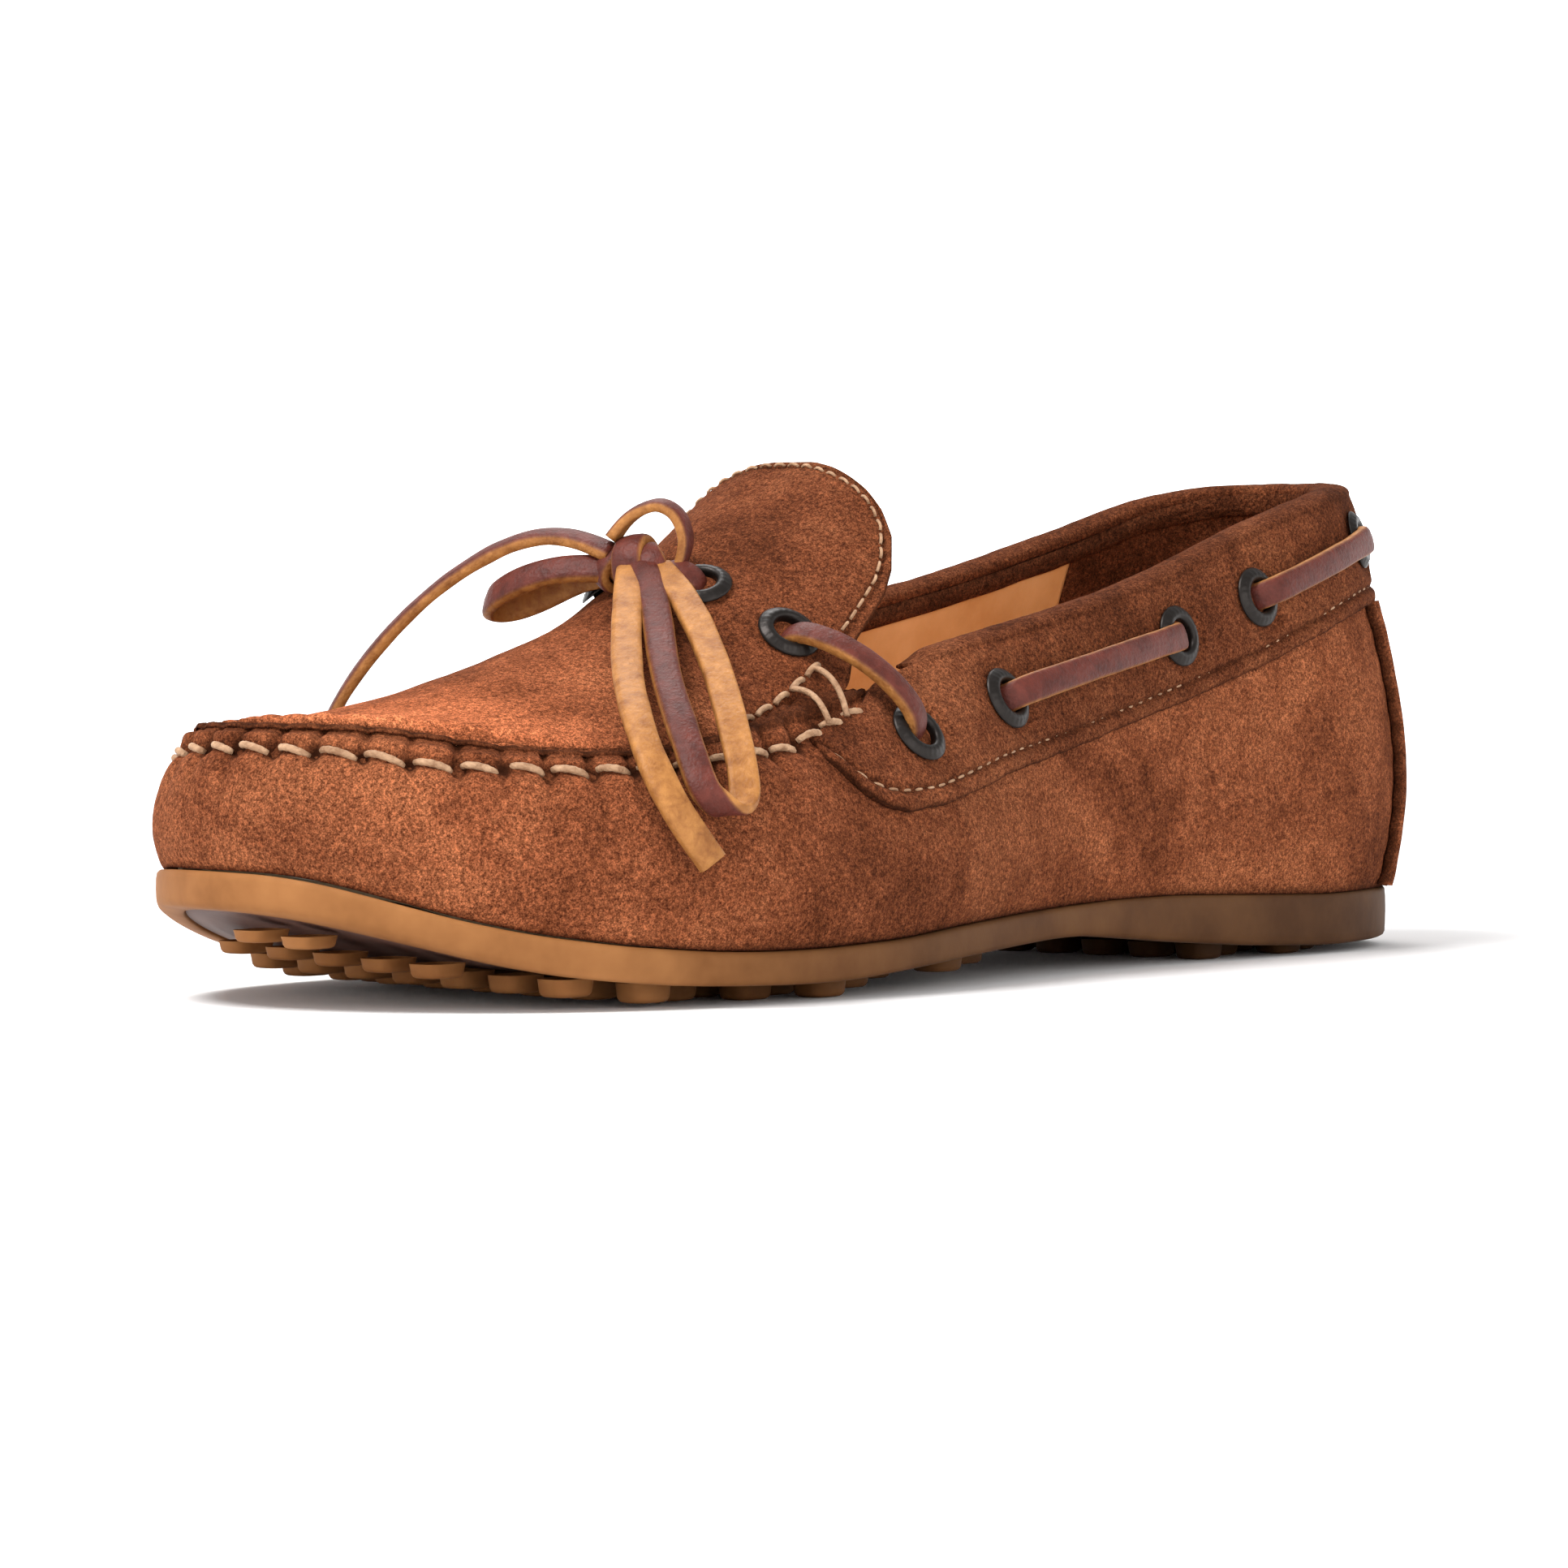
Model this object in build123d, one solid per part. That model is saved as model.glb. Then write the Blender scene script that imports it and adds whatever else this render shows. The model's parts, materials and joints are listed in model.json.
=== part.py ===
from build123d import *
import os
import numpy as np

# Moccasin, left foot. Working frame while modelling (mm): X from the back of the heel to the toe, +Y to the
# lateral (outer) side, Z up from the ground. Everything is moved at the end so that the origin is at the
# bottom centre of the shoe's box.

# ---------------------------------------------------------------- driving dimensions (mm)
WALL_T = 1.6            # suede of the vamp wall
APRON_T = 1.8           # suede of the apron and tongue
LINING_T = 0.9          # leather linings
COLLAR_T = 1.25         # suede collar band on the wall
BACKSTAY_T = 1.8        # heel patch
GAP = 0.07              # space left between two layers that touch
EYELET_OD = 11.0
EYELET_BORE = 5.8
EYELET_PROUD = 1.3
LACE_W = 5.0
LACE_T = 2.2
HINGE_X = 184.0         # where the tongue bends away from the apron
STUD_DROP = 3.0         # how far a forefoot stud stands below the rim
STUD_L, STUD_W = 8.6, 6.4
STUD_PX, STUD_PY = 12.4, 10.6

# ---------------------------------------------------------------- shape of the last
SOLE = [(0,0),(8,20),(30,33),(60,35.5),(100,36),(140,41),(180,49.5),(205,51.5),(232,49),(257,39),(275,24),(285,8),
        (288,-8),(280,-30),(260,-44),(235,-50),(207,-51),(180,-47),(150,-39),(120,-33),(90,-31),(60,-33),(30,-31.5),(8,-19)]
def closed_spline(ctrl, n):
    c = np.array(ctrl, float); m = len(c)
    h = np.linalg.norm(np.roll(c, -1, 0) - c, axis=1)
    A = np.zeros((m, m)); R = np.zeros((m, 2))
    for i in range(m):
        a, b = h[i - 1], h[i]
        A[i, i - 1] += a; A[i, i] += 2 * (a + b); A[i, (i + 1) % m] += b
        R[i] = 6 * ((c[(i + 1) % m] - c[i]) / b - (c[i] - c[i - 1]) / a)
    M = np.linalg.solve(A, R)
    P = []
    for i in range(m):
        k = np.linspace(0, 1, 40, endpoint=False)[:, None]; j = (i + 1) % m
        P.append((1 - k) * c[i] + k * c[j] + h[i] ** 2 / 6 * (((1 - k) ** 3 - (1 - k)) * M[i] + (k ** 3 - k) * M[j]))
    P = np.vstack(P); P = np.vstack([P, P[:1]])
    s = np.r_[0, np.cumsum(np.linalg.norm(np.diff(P, axis=0), axis=1))]
    q = np.linspace(0, s[-1], n, endpoint=False)
    return np.stack([np.interp(q, s, P[:, 0]), np.interp(q, s, P[:, 1])], 1), s[-1]
NOUT = 1440
OUT, PERIM = closed_spline(SOLE, NOUT)
TAN = np.roll(OUT, -1, 0) - np.roll(OUT, 1, 0); TAN /= np.linalg.norm(TAN, axis=1)[:, None]
NOR = np.stack([-TAN[:, 1], TAN[:, 0]], 1)            # outline runs heel, lateral, toe, medial: outward on its left
def table(pts, sm=5.0, lo=-20, hi=310):
    p = np.array(pts, float); p = p[p[:, 0].argsort()]
    x = np.arange(lo, hi + .5, 1.0); y = np.interp(x, p[:, 0], p[:, 1])
    if sm > 0:
        k = np.exp(-.5 * (np.arange(-25, 26) / sm) ** 2); k /= k.sum()
        y = np.convolve(np.pad(y, 25, mode='edge'), k, mode='valid')
    return lambda X: np.interp(X, x, y)
K_SKEW = 0.20                                        # the toe rises along a line oblique to X
ZFx = table([(0,11.4),(20,11.2),(46,11.0),(70,11.7),(92,12.4),(110,12.4),(129,11.9),(150,11.2),(171,10.3),(189,9.1),(210,8.5),(223,8.5),(234,8.9),(249,10.2),(262,12.2),(271,14.6),(280,18.3),(285,20.9),(288,22.4),(300,22.4)],3)
ZBx = table([(0,2.0),(29,1.7),(46,1.5),(70,2.4),(92,3.9),(110,5.4),(124,6.5),(133,6.5),(150,5.9),(171,5.0),(189,3.9),(204,3.0),(216,2.9),(229,3.2),(240,3.6),(249,4.4),(258,5.6),(266,7.5),(273,9.9),(278,11.8),(282,13.4),(285,14.8),(288,16.3),(300,16.3)],3)
ZT = table([(300,47),(280,46.3),(270,43.8),(262,42.6),(252,42.0),(240,42.2),(222,43.2),(206,44.5),(196,46.2),(186,48),(178,50),(168,53),(158,55),(144,57.5),(125,61),(108,64.5),(90,69),(79,72.3),(63,77),(45,81),(28,83.6),(8,85.3),(0,85.5)],4)
def side_y(X):
    i = NOUT // 2; a = OUT[:, 0].argmax()
    return np.interp(X, OUT[:a + 1, 0], OUT[:a + 1, 1])
def _skew(f):
    x = np.arange(0, 289.); key = x - K_SKEW * side_y(x) * np.clip((x - 150) / 60, 0, 1); v = f(x)
    o = np.argsort(key); k, v = key[o], v[o]
    def g(X, Y=0.0):
        X = np.asarray(X, float); return np.interp(X - K_SKEW * np.asarray(Y, float) * np.clip((X - 150) / 60, 0, 1), k, v)
    return g
ZF = _skew(ZFx); ZB = _skew(ZBx)
ZMED = table([(0,0),(10,0),(28,-1.2),(45,-3.4),(63,-3.8),(80,-2.8),(100,-1.2),(125,-.5),(150,0),(300,0)],5)
# sideways offset of the wall from the sole's rim at five heights
TT = np.array([0, .25, .5, .75, 1.0])
LAT = {0:(-.6,2.0,.3,-4.3,-8.3), 30:(-.6,1.8,.4,-3.2,-8.4), 45:(-.7,1.3,.4,-2.2,-7.6), 63:(-.8,.9,.3,-1.6,-5.8), 90:(-.8,.8,.4,-1.0,-4.2), 108:(-.8,.9,.5,-.8,-3.9), 125:(-.9,1.0,.3,-1.5,-5.4),
       144:(-1,1.0,0,-3,-8.0), 158:(-1,1.1,-.2,-3.8,-10.2), 168:(-1,1.2,-.4,-4.6,-12), 178:(-1,1.2,-.5,-5.4,-13.6), 190:(-1,1.2,-.6,-5.2,-13), 206:(-1,1.2,-.5,-4.4,-11.5), 222:(-1,1.1,-.4,-3.8,-10), 240:(-1,1.0,-.3,-3.2,-8.8),
       262:(-1,.8,-.3,-2.6,-7.8), 276:(-1,.6,-.3,-2.2,-7.2), 288:(-1,.4,-.3,-2.0,-6.8)}
MED = dict(LAT)
MED.update({63:(-.7,1.5,1.4,-.4,-5.2), 90:(-.6,2.0,2.4,1.2,-2.6), 108:(-.6,2.2,2.4,1.0,-3.0), 125:(-.7,1.8,1.4,-.6,-4.6), 144:(-.9,1.5,.5,-2.2,-6.6), 158:(-1,1.3,.1,-3.2,-8.8), 168:(-1,1.2,-.2,-4.0,-10.6), 178:(-1,1.2,-.4,-4.8,-12.2),
            190:(-1,1.2,-.5,-4.6,-11.8), 262:(-1,.6,-.3,-2.2,-6.6), 276:(-1,.4,-.6,-3.6,-6.6), 288:(-1,.4,-.5,-3.0,-6.8)})
def offs(d):
    k = sorted(d); return [table([(q, d[q][i]) for q in k], 5) for i in range(5)]
FL, FM = offs(LAT), offs(MED)
def cubic_t(V, t):
    """smooth curve through five values at TT (natural cubic), V (n,5), t (m,) -> (n,m)"""
    n = 5; h = .25
    A = np.zeros((n, n)); A[0, 0] = A[-1, -1] = 1
    for i in range(1, 4): A[i, i - 1:i + 2] = [h, 4 * h, h]
    R = np.zeros((V.shape[0], n)); R[:, 1:4] = 6 * (V[:, 2:] - 2 * V[:, 1:4] + V[:, :3]) / h
    M = np.linalg.solve(A, R.T).T
    t = np.asarray(t, float); i = np.clip((t / h).astype(int), 0, 3); k = t / h - i
    return (1 - k) * V[:, i] + k * V[:, i + 1] + h * h / 6 * (((1 - k) ** 3 - (1 - k)) * M[:, i] + (k ** 3 - k) * M[:, i + 1])
def out_at(u):
    q = (np.asarray(u, float) % 1.0) * NOUT; i = q.astype(int) % NOUT; f = (q - np.floor(q))[..., None]; j = (i + 1) % NOUT
    P = OUT[i] * (1 - f) + OUT[j] * f; N = NOR[i] * (1 - f) + NOR[j] * f
    return P, N / np.linalg.norm(N, axis=-1, keepdims=True)
def wall(u, t, zt=None):
    """u (n,), t (m,) -> points (n,m,3) on the outer face of the wall"""
    u = np.atleast_1d(u); t = np.atleast_1d(np.asarray(t, float))
    P, N = out_at(u); X = P[:, 0]; s = np.clip(P[:, 1] / 14 * .5 + .5, 0, 1); s = s * s * (3 - 2 * s)
    V = np.stack([FL[i](X) * s + FM[i](X) * (1 - s) for i in range(5)], 1)
    off = cubic_t(V, t)
    z0, z1 = ZF(X, P[:, 1]), ZT(X) + ZMED(X) * (1 - s)
    XY = P[:, None, :] + N[:, None, :] * off[..., None]
    Z = z0[:, None] + (z1 - z0)[:, None] * t[None]
    return np.concatenate([XY, Z[..., None]], 2)
def wall_n(u, t, e=1e-3):
    a = wall(np.atleast_1d(u) + e, t) - wall(np.atleast_1d(u) - e, t)
    b = wall(u, np.atleast_1d(t) + e) - wall(u, np.atleast_1d(t) - e)
    n = np.cross(b, a); n /= np.linalg.norm(n, axis=2)[..., None]
    P, N = out_at(np.atleast_1d(u)); sg = np.sign((n[..., :2] * N[:, None]).sum(2)); sg[sg == 0] = 1
    return n * sg[..., None]
def wall_off(u, t, d):
    return wall(u, t) + wall_n(u, t) * d
def u_of(X, side):
    """perimeter place of the outline point at X on side +1 lateral / -1 medial"""
    i = np.arange(NOUT); a = OUT[:, 0].argmax()
    if side > 0: xs, us = OUT[:a + 1, 0], i[:a + 1] / NOUT
    else: xs, us = OUT[a:, 0][::-1], i[a:][::-1] / NOUT
    return np.interp(X, xs, us)
def t_of_z(u, z):
    P, _ = out_at(np.atleast_1d(u)); X = P[:, 0]; return (z - ZF(X, P[:, 1])) / (ZT(X) + ZMED(X) * (P[:, 1] < 0) - ZF(X, P[:, 1]))
# ---------------------------------------------------------------- apron and tongue
ZC = table([(140,89),(150,90),(156,89.8),(160,88.2),(165,85),(170,82),(175,79.3),(180,77),(185,74.8),(190,72.3),(195,69.4),(200,66.2),(205,63.3),(210,61),(215,59.1),(220,57.3),(225,55.6),(230,54),(235,52.4),(240,50.9),(245,49.6),(250,48.7),(255,47.8),(260,47),(265,46.5),(270,46.3),(276,46.2),(290,45.6)],3)
HH = table([(140,30),(160,30),(173,30),(184,31),(195,27.5),(206,23.3),(216,20),(223,17.6),(233,15),(242,12.6),(250,10.6),(259,8),(268,5.4),(276,3),(290,1.5)],3)
WL = table([(140,39),(160,39),(184,39.5),(195,40.5),(206,41),(222,40.5),(240,38),(252,34.5),(262,31),(272,28),(290,26)],4)
WM = table([(140,33),(160,33),(184,33.5),(195,36),(206,38),(222,38.5),(240,38.5),(252,37),(262,34),(272,30),(290,27)],4)
PL = table([(140,3.0),(160,3.0),(175,2.6),(186,2.1),(200,2.0),(240,2.1),(262,2.4),(276,2.6),(290,2.6)],4)
PM = table([(140,2.6),(160,2.4),(175,2.0),(186,1.7),(200,1.65),(222,1.75),(240,2.0),(262,2.4),(290,2.6)],4)
YC = table([(140,-2),(160,-2),(185,-1),(200,-.5),(225,-1),(290,-1)],6)
def apron(X, Y):
    X = np.asarray(X, float); Y = np.asarray(Y, float)
    d = Y - YC(X); w = np.where(d > 0, WL(X), WM(X))
    return ZC(X) - HH(X) * (np.abs(d) / w) ** np.where(d > 0, PL(X), PM(X))
def apron_n(X, Y, e=.05):
    gx = (apron(X + e, Y) - apron(X - e, Y)) / (2 * e); gy = (apron(X, Y + e) - apron(X, Y - e)) / (2 * e)
    n = np.stack([-gx, -gy, np.ones_like(gx)], -1); return n / np.linalg.norm(n, axis=-1, keepdims=True)


# ---------------------------------------------------------------- helpers
def V(p): return Vector(float(p[0]), float(p[1]), float(p[2]))
def grid_face(P): return Face.make_surface_from_array_of_points([[V(p) for p in row] for row in P], tol=0.008)
def slab(Po, Pi):
    """closed solid between two point grids of the same shape"""
    fo, fi = grid_face(Po), grid_face(Pi)
    fs = [fo, fi]; rest = list(fi.edges())
    for a in fo.edges():
        b = min(rest, key=lambda e: min((e @ 0 - a @ 0).length + (e @ 1 - a @ 1).length, (e @ 1 - a @ 0).length + (e @ 0 - a @ 1).length) + (e @ 0.5 - a @ 0.5).length)
        rest.remove(b); fs.append(Face.make_surface_from_curves(a, b))
    s = Solid(Shell(Face.sew_faces(fs)[0]))
    if s.volume < 0: s = Solid(s.wrapped.Reversed())
    return s
def prism(XY, z0=-30.0, z1=130.0):
    w = Wire([Edge.make_spline([Vector(float(x), float(y), z0) for x, y in XY], periodic=True)])
    return Solid.extrude(Face(w), Vector(0, 0, z1 - z0))
def poly_prism(XY, z0=-30.0, z1=130.0):
    w = Wire.make_polygon([Vector(float(x), float(y), z0) for x, y in XY], close=True)
    return Solid.extrude(Face(w), Vector(0, 0, z1 - z0))
def rim(inset, n=56):
    """plan outline of the sole drawn in by inset"""
    i = (np.arange(n) * NOUT) // n
    return OUT[i] - NOR[i] * inset
def floor_slab(f, lo, hi, nx=34, ny=7):
    X = np.linspace(-8, 296, nx); Y = np.linspace(-60, 60, ny)
    G = np.stack(np.meshgrid(X, Y, indexing='ij'), -1); z = f(G[..., 0], G[..., 1])
    return slab(np.concatenate([G, (z + hi)[..., None]], -1), np.concatenate([G, (z + lo)[..., None]], -1))
def panel(u0, u1, tl, th, d_out, d_in, nu, nt):
    """a layer of the wall from perimeter place u0 to u1, heights tl(u) to th(u), depths d(u,t)"""
    u = np.linspace(u0, u1, nu); k = np.linspace(0, 1, nt)
    Po, Pi = [], []
    for a in u:
        t = tl(a) + (th(a) - tl(a)) * k
        do = d_out(a, t) if callable(d_out) else d_out
        di = d_in(a, t) if callable(d_in) else d_in
        w = wall([a], t)[0]; n = wall_n([a], t)[0]
        Po.append(w + n * np.broadcast_to(do, t.shape)[:, None]); Pi.append(w + n * np.broadcast_to(di, t.shape)[:, None])
    return slab(np.array(Po), np.array(Pi))
def cap_slab(X0, X1, Y0, Y1, d_out, d_in, nx=24, ny=27):
    X = np.linspace(X0, X1, nx); Y = np.linspace(Y0, Y1, ny)
    G = np.stack(np.meshgrid(X, Y, indexing='ij'), -1); P = np.concatenate([G, apron(G[..., 0], G[..., 1])[..., None]], -1)
    N = apron_n(G[..., 0], G[..., 1]); N[0, :, 0] = 0; N[-1, :, 0] = 0
    return slab(P + N * d_out, P + N * d_in)
def biggest(s):
    ss = s.solids(); return max(ss, key=lambda q: q.volume)
def cut(s, tool, label=''):
    """take a tool out of a solid and keep the main piece; a tool that takes nothing sensible leaves the solid as it was"""
    try:
        r = s - tool; q = biggest(r)
        if q.is_valid and 0.6 * s.volume < q.volume <= s.volume * 1.03: return q
        print('cut odd', label, s.volume, q.volume, q.is_valid)
    except Exception as e: print('cut failed', label, e)
    return s
def out_x(u): return float(out_at(np.array([u]))[0][0][0])
def out_y(u): return float(out_at(np.array([u]))[0][0][1])
def wall_frame(X, side, z, d=0.0):
    u = u_of(X, side); t = float(t_of_z(u, z)[0])
    p = wall([u], [t])[0, 0]; n = wall_n([u], [t])[0, 0]
    return p + n * d, n, u, t
def apron_frame(X, Y, d=0.0):
    n = apron_n(X, Y); p = np.array([X, Y, float(apron(X, Y))]); return p + n * d, n
def hole(p, n, r, a=-9.0, b=5.0):
    return Solid.make_cylinder(r, b - a, Plane(origin=V(p + n * a), z_dir=V(n)))
def eyelet(p, n, grip):
    """rolled eyelet: domed flange proud of the leather, barrel through it"""
    R, r = EYELET_OD / 2, EYELET_BORE / 2
    prof = Polyline((r, -grip - 1.5), (r, 0.9), (r + 0.45, EYELET_PROUD), (r + 1.3, EYELET_PROUD), (R - 0.35, 0.75), (R, 0.25), (R, GAP), (r + 0.45, GAP), (r + 0.45, -grip - 1.5), close=True)
    f = make_face(Plane.XZ * prof)
    s = revolve(f, Axis.Z, 360)
    return Plane(origin=V(p), z_dir=V(n)) * s
def washer(p, n, grip):
    R, r = 4.4, EYELET_BORE / 2 + 0.45 + 0.05
    s = Solid.make_cylinder(R, 0.5) - Solid.make_cylinder(r, 0.5)
    return Plane(origin=V(p - n * (grip + 0.8 + 0.5)), z_dir=V(n)) * s
def strap(P, N, w=LACE_W, th=LACE_T):
    """flat strap through points P whose broad side faces N"""
    P, N = np.array(P, float), np.array(N, float)
    T = np.gradient(P, axis=0); T /= np.linalg.norm(T, axis=1)[:, None]
    N = N - (N * T).sum(1)[:, None] * T; N /= np.linalg.norm(N, axis=1)[:, None]; B = np.cross(T, N)
    ws = [Wire.make_polygon([V(p + b * w / 2 + n * th / 2), V(p - b * w / 2 + n * th / 2), V(p - b * w / 2 - n * th / 2), V(p + b * w / 2 - n * th / 2)], close=True) for p, n, b in zip(P, N, B)]
    return Solid.make_loft(ws, ruled=True)
def faceted(P, N, w=LACE_W, th=LACE_T):
    """the same strap with flat triangular facets, for a tight twisted fold"""
    P, N = np.array(P, float), np.array(N, float)
    T = np.gradient(P, axis=0); T /= np.linalg.norm(T, axis=1)[:, None]
    N = N - (N * T).sum(1)[:, None] * T; N /= np.linalg.norm(N, axis=1)[:, None]; B = np.cross(T, N)
    C = np.stack([P + B * w / 2 + N * th / 2, P - B * w / 2 + N * th / 2, P - B * w / 2 - N * th / 2, P + B * w / 2 - N * th / 2], 1)
    tri = lambda *q: Face(Wire.make_polygon([V(c) for c in q], close=True))
    fs = [tri(*C[0][::-1]), tri(*C[-1])]
    for i in range(len(P) - 1):
        for j in range(4):
            a, b, c, d = C[i][j], C[i][(j + 1) % 4], C[i + 1][(j + 1) % 4], C[i + 1][j]; fs += [tri(a, b, c), tri(a, c, d)]
    s = Solid(Shell(Face.sew_faces(fs)[0]))
    if s.volume < 0: s = Solid(s.wrapped.Reversed())
    return s
def resample(P, n):
    P = np.array(P, float); s = np.r_[0, np.cumsum(np.linalg.norm(np.diff(P, axis=0), axis=1))]
    q = np.linspace(0, s[-1], n); return np.stack([np.interp(q, s, P[:, k]) for k in range(3)], 1)
def arcs(P, N, name):
    """straight runs joined by tangent arcs, each 0.45 of its shorter run; normals carried along"""
    P, N = np.array(P, float), np.array(N, float)
    L = np.linalg.norm(np.diff(P, axis=0), axis=1); pts, nor, rad = [P[0]], [N[0]], []
    for i in range(1, len(P) - 1):
        a, b = (P[i - 1] - P[i]) / L[i - 1], (P[i + 1] - P[i]) / L[i]
        turn = np.pi - np.arccos(np.clip(a @ b, -1, 1)); c = 0.45 * min(L[i - 1], L[i]); r = c / np.tan(turn / 2); rad.append(round(float(r), 1))
        m = (a + b) / np.linalg.norm(a + b); C = P[i] + m * np.hypot(r, c)
        e1 = (P[i] + a * c - C) / r; e2 = (P[i] + b * c - C) / r; k = max(2, int(np.ceil(turn / 0.4)))
        for q in np.linspace(0, 1, k + 1):
            v = (np.sin((1 - q) * turn) * e1 + np.sin(q * turn) * e2) / np.sin(turn); pts.append(C + v * r); nor.append(N[i])
    pts.append(P[-1]); nor.append(N[-1]); pts, nor = np.array(pts), np.array(nor)
    s = np.r_[0, np.cumsum(np.linalg.norm(np.diff(pts, axis=0), axis=1))]
    if len(pts) > 4:
        w = np.exp(-.5 * ((s[:, None] - s[None]) / 2.0) ** 2); nor = (w @ nor) / w.sum(1)[:, None]
    sh = (faceted if name == 'bow_loop_lateral' else strap)(pts, nor); print('cord', name, 'length', round(float(s[-1]), 1), 'radii', rad, 'volume/section*length', round(sh.volume / (LACE_W * LACE_T * s[-1]), 3))
    return sh
PARTS = {}

# ---------------------------------------------------------------- sole unit
outline = prism(rim(0.0))
core_pan = prism(rim(4.6)); core_cut = prism(rim(4.4))
sole = floor_slab(lambda X, Y: ZF(X, Y), -60, -0.06) & outline
under = floor_slab(lambda X, Y: ZB(X, Y), -60, 0.0)
sole = sole - under
sole = sole - (floor_slab(lambda X, Y: ZB(X, Y), -5, 1.7) & core_cut)
PARTS['outsole'] = biggest(sole)
PARTS['tread_panel'] = biggest(floor_slab(lambda X, Y: ZB(X, Y), 0.5, 1.62) & core_pan)

def inside(x, y, ins):
    d = OUT - np.array([x, y]); i = (d ** 2).sum(1).argmin(); return -(d[i] @ -NOR[i]) > 0 and np.sqrt((d[i] ** 2).sum()) > ins and (d[i] @ NOR[i]) > 0
def studs(x0, x1, ins):
    out = []; row = 0; x = x0
    while x <= x1:
        ys = np.arange(-5, 6) * STUD_PY + (STUD_PY / 2 if row % 2 else 0)
        for y in ys:
            if inside(x, y, ins):
                zz = [float(ZB(x + a, y + b)) for a in (-4, 0, 4) for b in (-3, 0, 3)]
                zb = max(0.0, float(ZB(x, y)) - STUD_DROP); zt = min(zz) + 0.45
                if zt - zb < 0.7: continue
                rr = RectangleRounded(STUD_L, STUD_W, 3.0)
                s = extrude(Location((x, y, zb)) * rr, zt - zb)
                e = s.edges().group_by(Axis.Z)[0]
                out.append(fillet(e, min(0.6, (zt - zb) * 0.4)).solid() if zb > 0.01 else chamfer(e, 0.3).solid())
        x += STUD_PX; row += 1
    return out
ff = studs(152.0, 281.0, 8.6); hs = studs(13.0, 78.0, 8.6)
PARTS['forefoot_studs'] = Compound(ff); PARTS['heel_studs'] = Compound(hs)
print('studs', len(ff), len(hs))

# ---------------------------------------------------------------- inside floor
PARTS['insole_board'] = biggest(floor_slab(ZF, 0.06, 2.0) & prism(rim(3.4)))
PARTS['footbed_foam'] = biggest(floor_slab(ZF, 2.08, 4.6) & prism(rim(3.7)))
PARTS['footbed_cover'] = biggest(floor_slab(ZF, 4.68, 5.7) & prism(rim(4.0)))

# ---------------------------------------------------------------- wall of the upper
one = lambda a: 1.0
PARTS['vamp'] = panel(0.0004, 0.9996, lambda a: 0.0, one, 0.0, -WALL_T, 121, 15)
U_L = lambda X: float(u_of(X, 1)); U_M = lambda X: float(u_of(X, -1))
def t_at(a, z): return float(t_of_z(np.array([a]), z)[0])
# lining: close behind the wall at the front, behind the counter and the padded collar at the back
def lin(a, t):
    x = out_x(a); back = np.clip((197 - x) / 22, 0, 1); back = back * back * (3 - 2 * back)
    pad = np.clip((np.asarray(t) - 0.45) / 0.25, 0, 1); pad = pad * pad * (3 - 2 * pad)
    return -(WALL_T + 0.1 + back * (1.35 + 1.35 * pad))
lin_in = lambda a, t: lin(a, t) - LINING_T
above_bed = lambda a: t_at(a, float(ZF(out_x(a), out_y(a))) + 5.9)
PARTS['vamp_lining'] = panel(U_L(160.5), U_M(160.5), above_bed, lambda a: 0.78 + 0.19 * float(np.clip((178 - out_x(a)) / 14, 0, 1)), lin, lin_in, 35, 7)
near_top = lambda a: 0.985
PARTS['quarter_lining_lateral'] = panel(U_L(49.0), U_L(160.0), above_bed, near_top, lin, lin_in, 15, 8)
PARTS['quarter_lining_medial'] = panel(U_M(160.0), U_M(49.0), above_bed, near_top, lin, lin_in, 15, 8)
PARTS['heel_lining'] = panel(U_M(48.5) - 1.0, U_L(48.5), above_bed, near_top, lin, lin_in, 19, 8)
PARTS['heel_counter'] = panel(U_M(68) - 1.0, U_L(68), above_bed, lambda a: 0.46, -(WALL_T + 0.22), lambda a, t: lin(a, t) + 0.2, 27, 5)
def pad_top(a): return 0.975
def pad_low(a): return 0.975 - 12.0 / float(ZT(out_x(a)) - ZF(out_x(a), out_y(a)))
pad = panel(U_M(146) - 1.0, U_L(146), lambda a: max(0.56, pad_low(a)), pad_top, -(WALL_T + 0.15), lambda a, t: lin(a, t) + 0.15, 43, 4)

# ---------------------------------------------------------------- collar band, its rolled edge, heel patch
CL = np.array([(205.5,40.2),(202.5,37.2),(200,33.9),(196,31.2),(190,29.8),(178,30.2),(155,35.1),(131,38.7),(109,43.2),(84,48.9),(69,52.6),(54,57.1),(40,61.2),(28,63.6),(12,64.8),(0,65.0)])[::-1]
CH = np.array([(206,41.2),(199,43.4),(191,45.2),(183,47.4),(178.5,49.6)])[::-1]
CLf = table([tuple(q) for q in CL], 3); CHf = table([(160, 53)] + [tuple(q) for q in CH], 2)
def col_low(a):
    return t_at(a, float(CLf(out_x(a))))
def col_high(a):
    x = out_x(a)
    if x < 178.5: return 1.0
    z = float(CHf(x)); t = t_at(a, z); k = min(1.0, (x - 178.5) / 7); k = k * k * (3 - 2 * k); return min(1.0, 1.0 * (1 - k) + t * k)
collar = panel(U_M(202.8) - 1.0, U_L(202.8), col_low, col_high, COLLAR_T + GAP, GAP, 121, 7)
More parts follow.
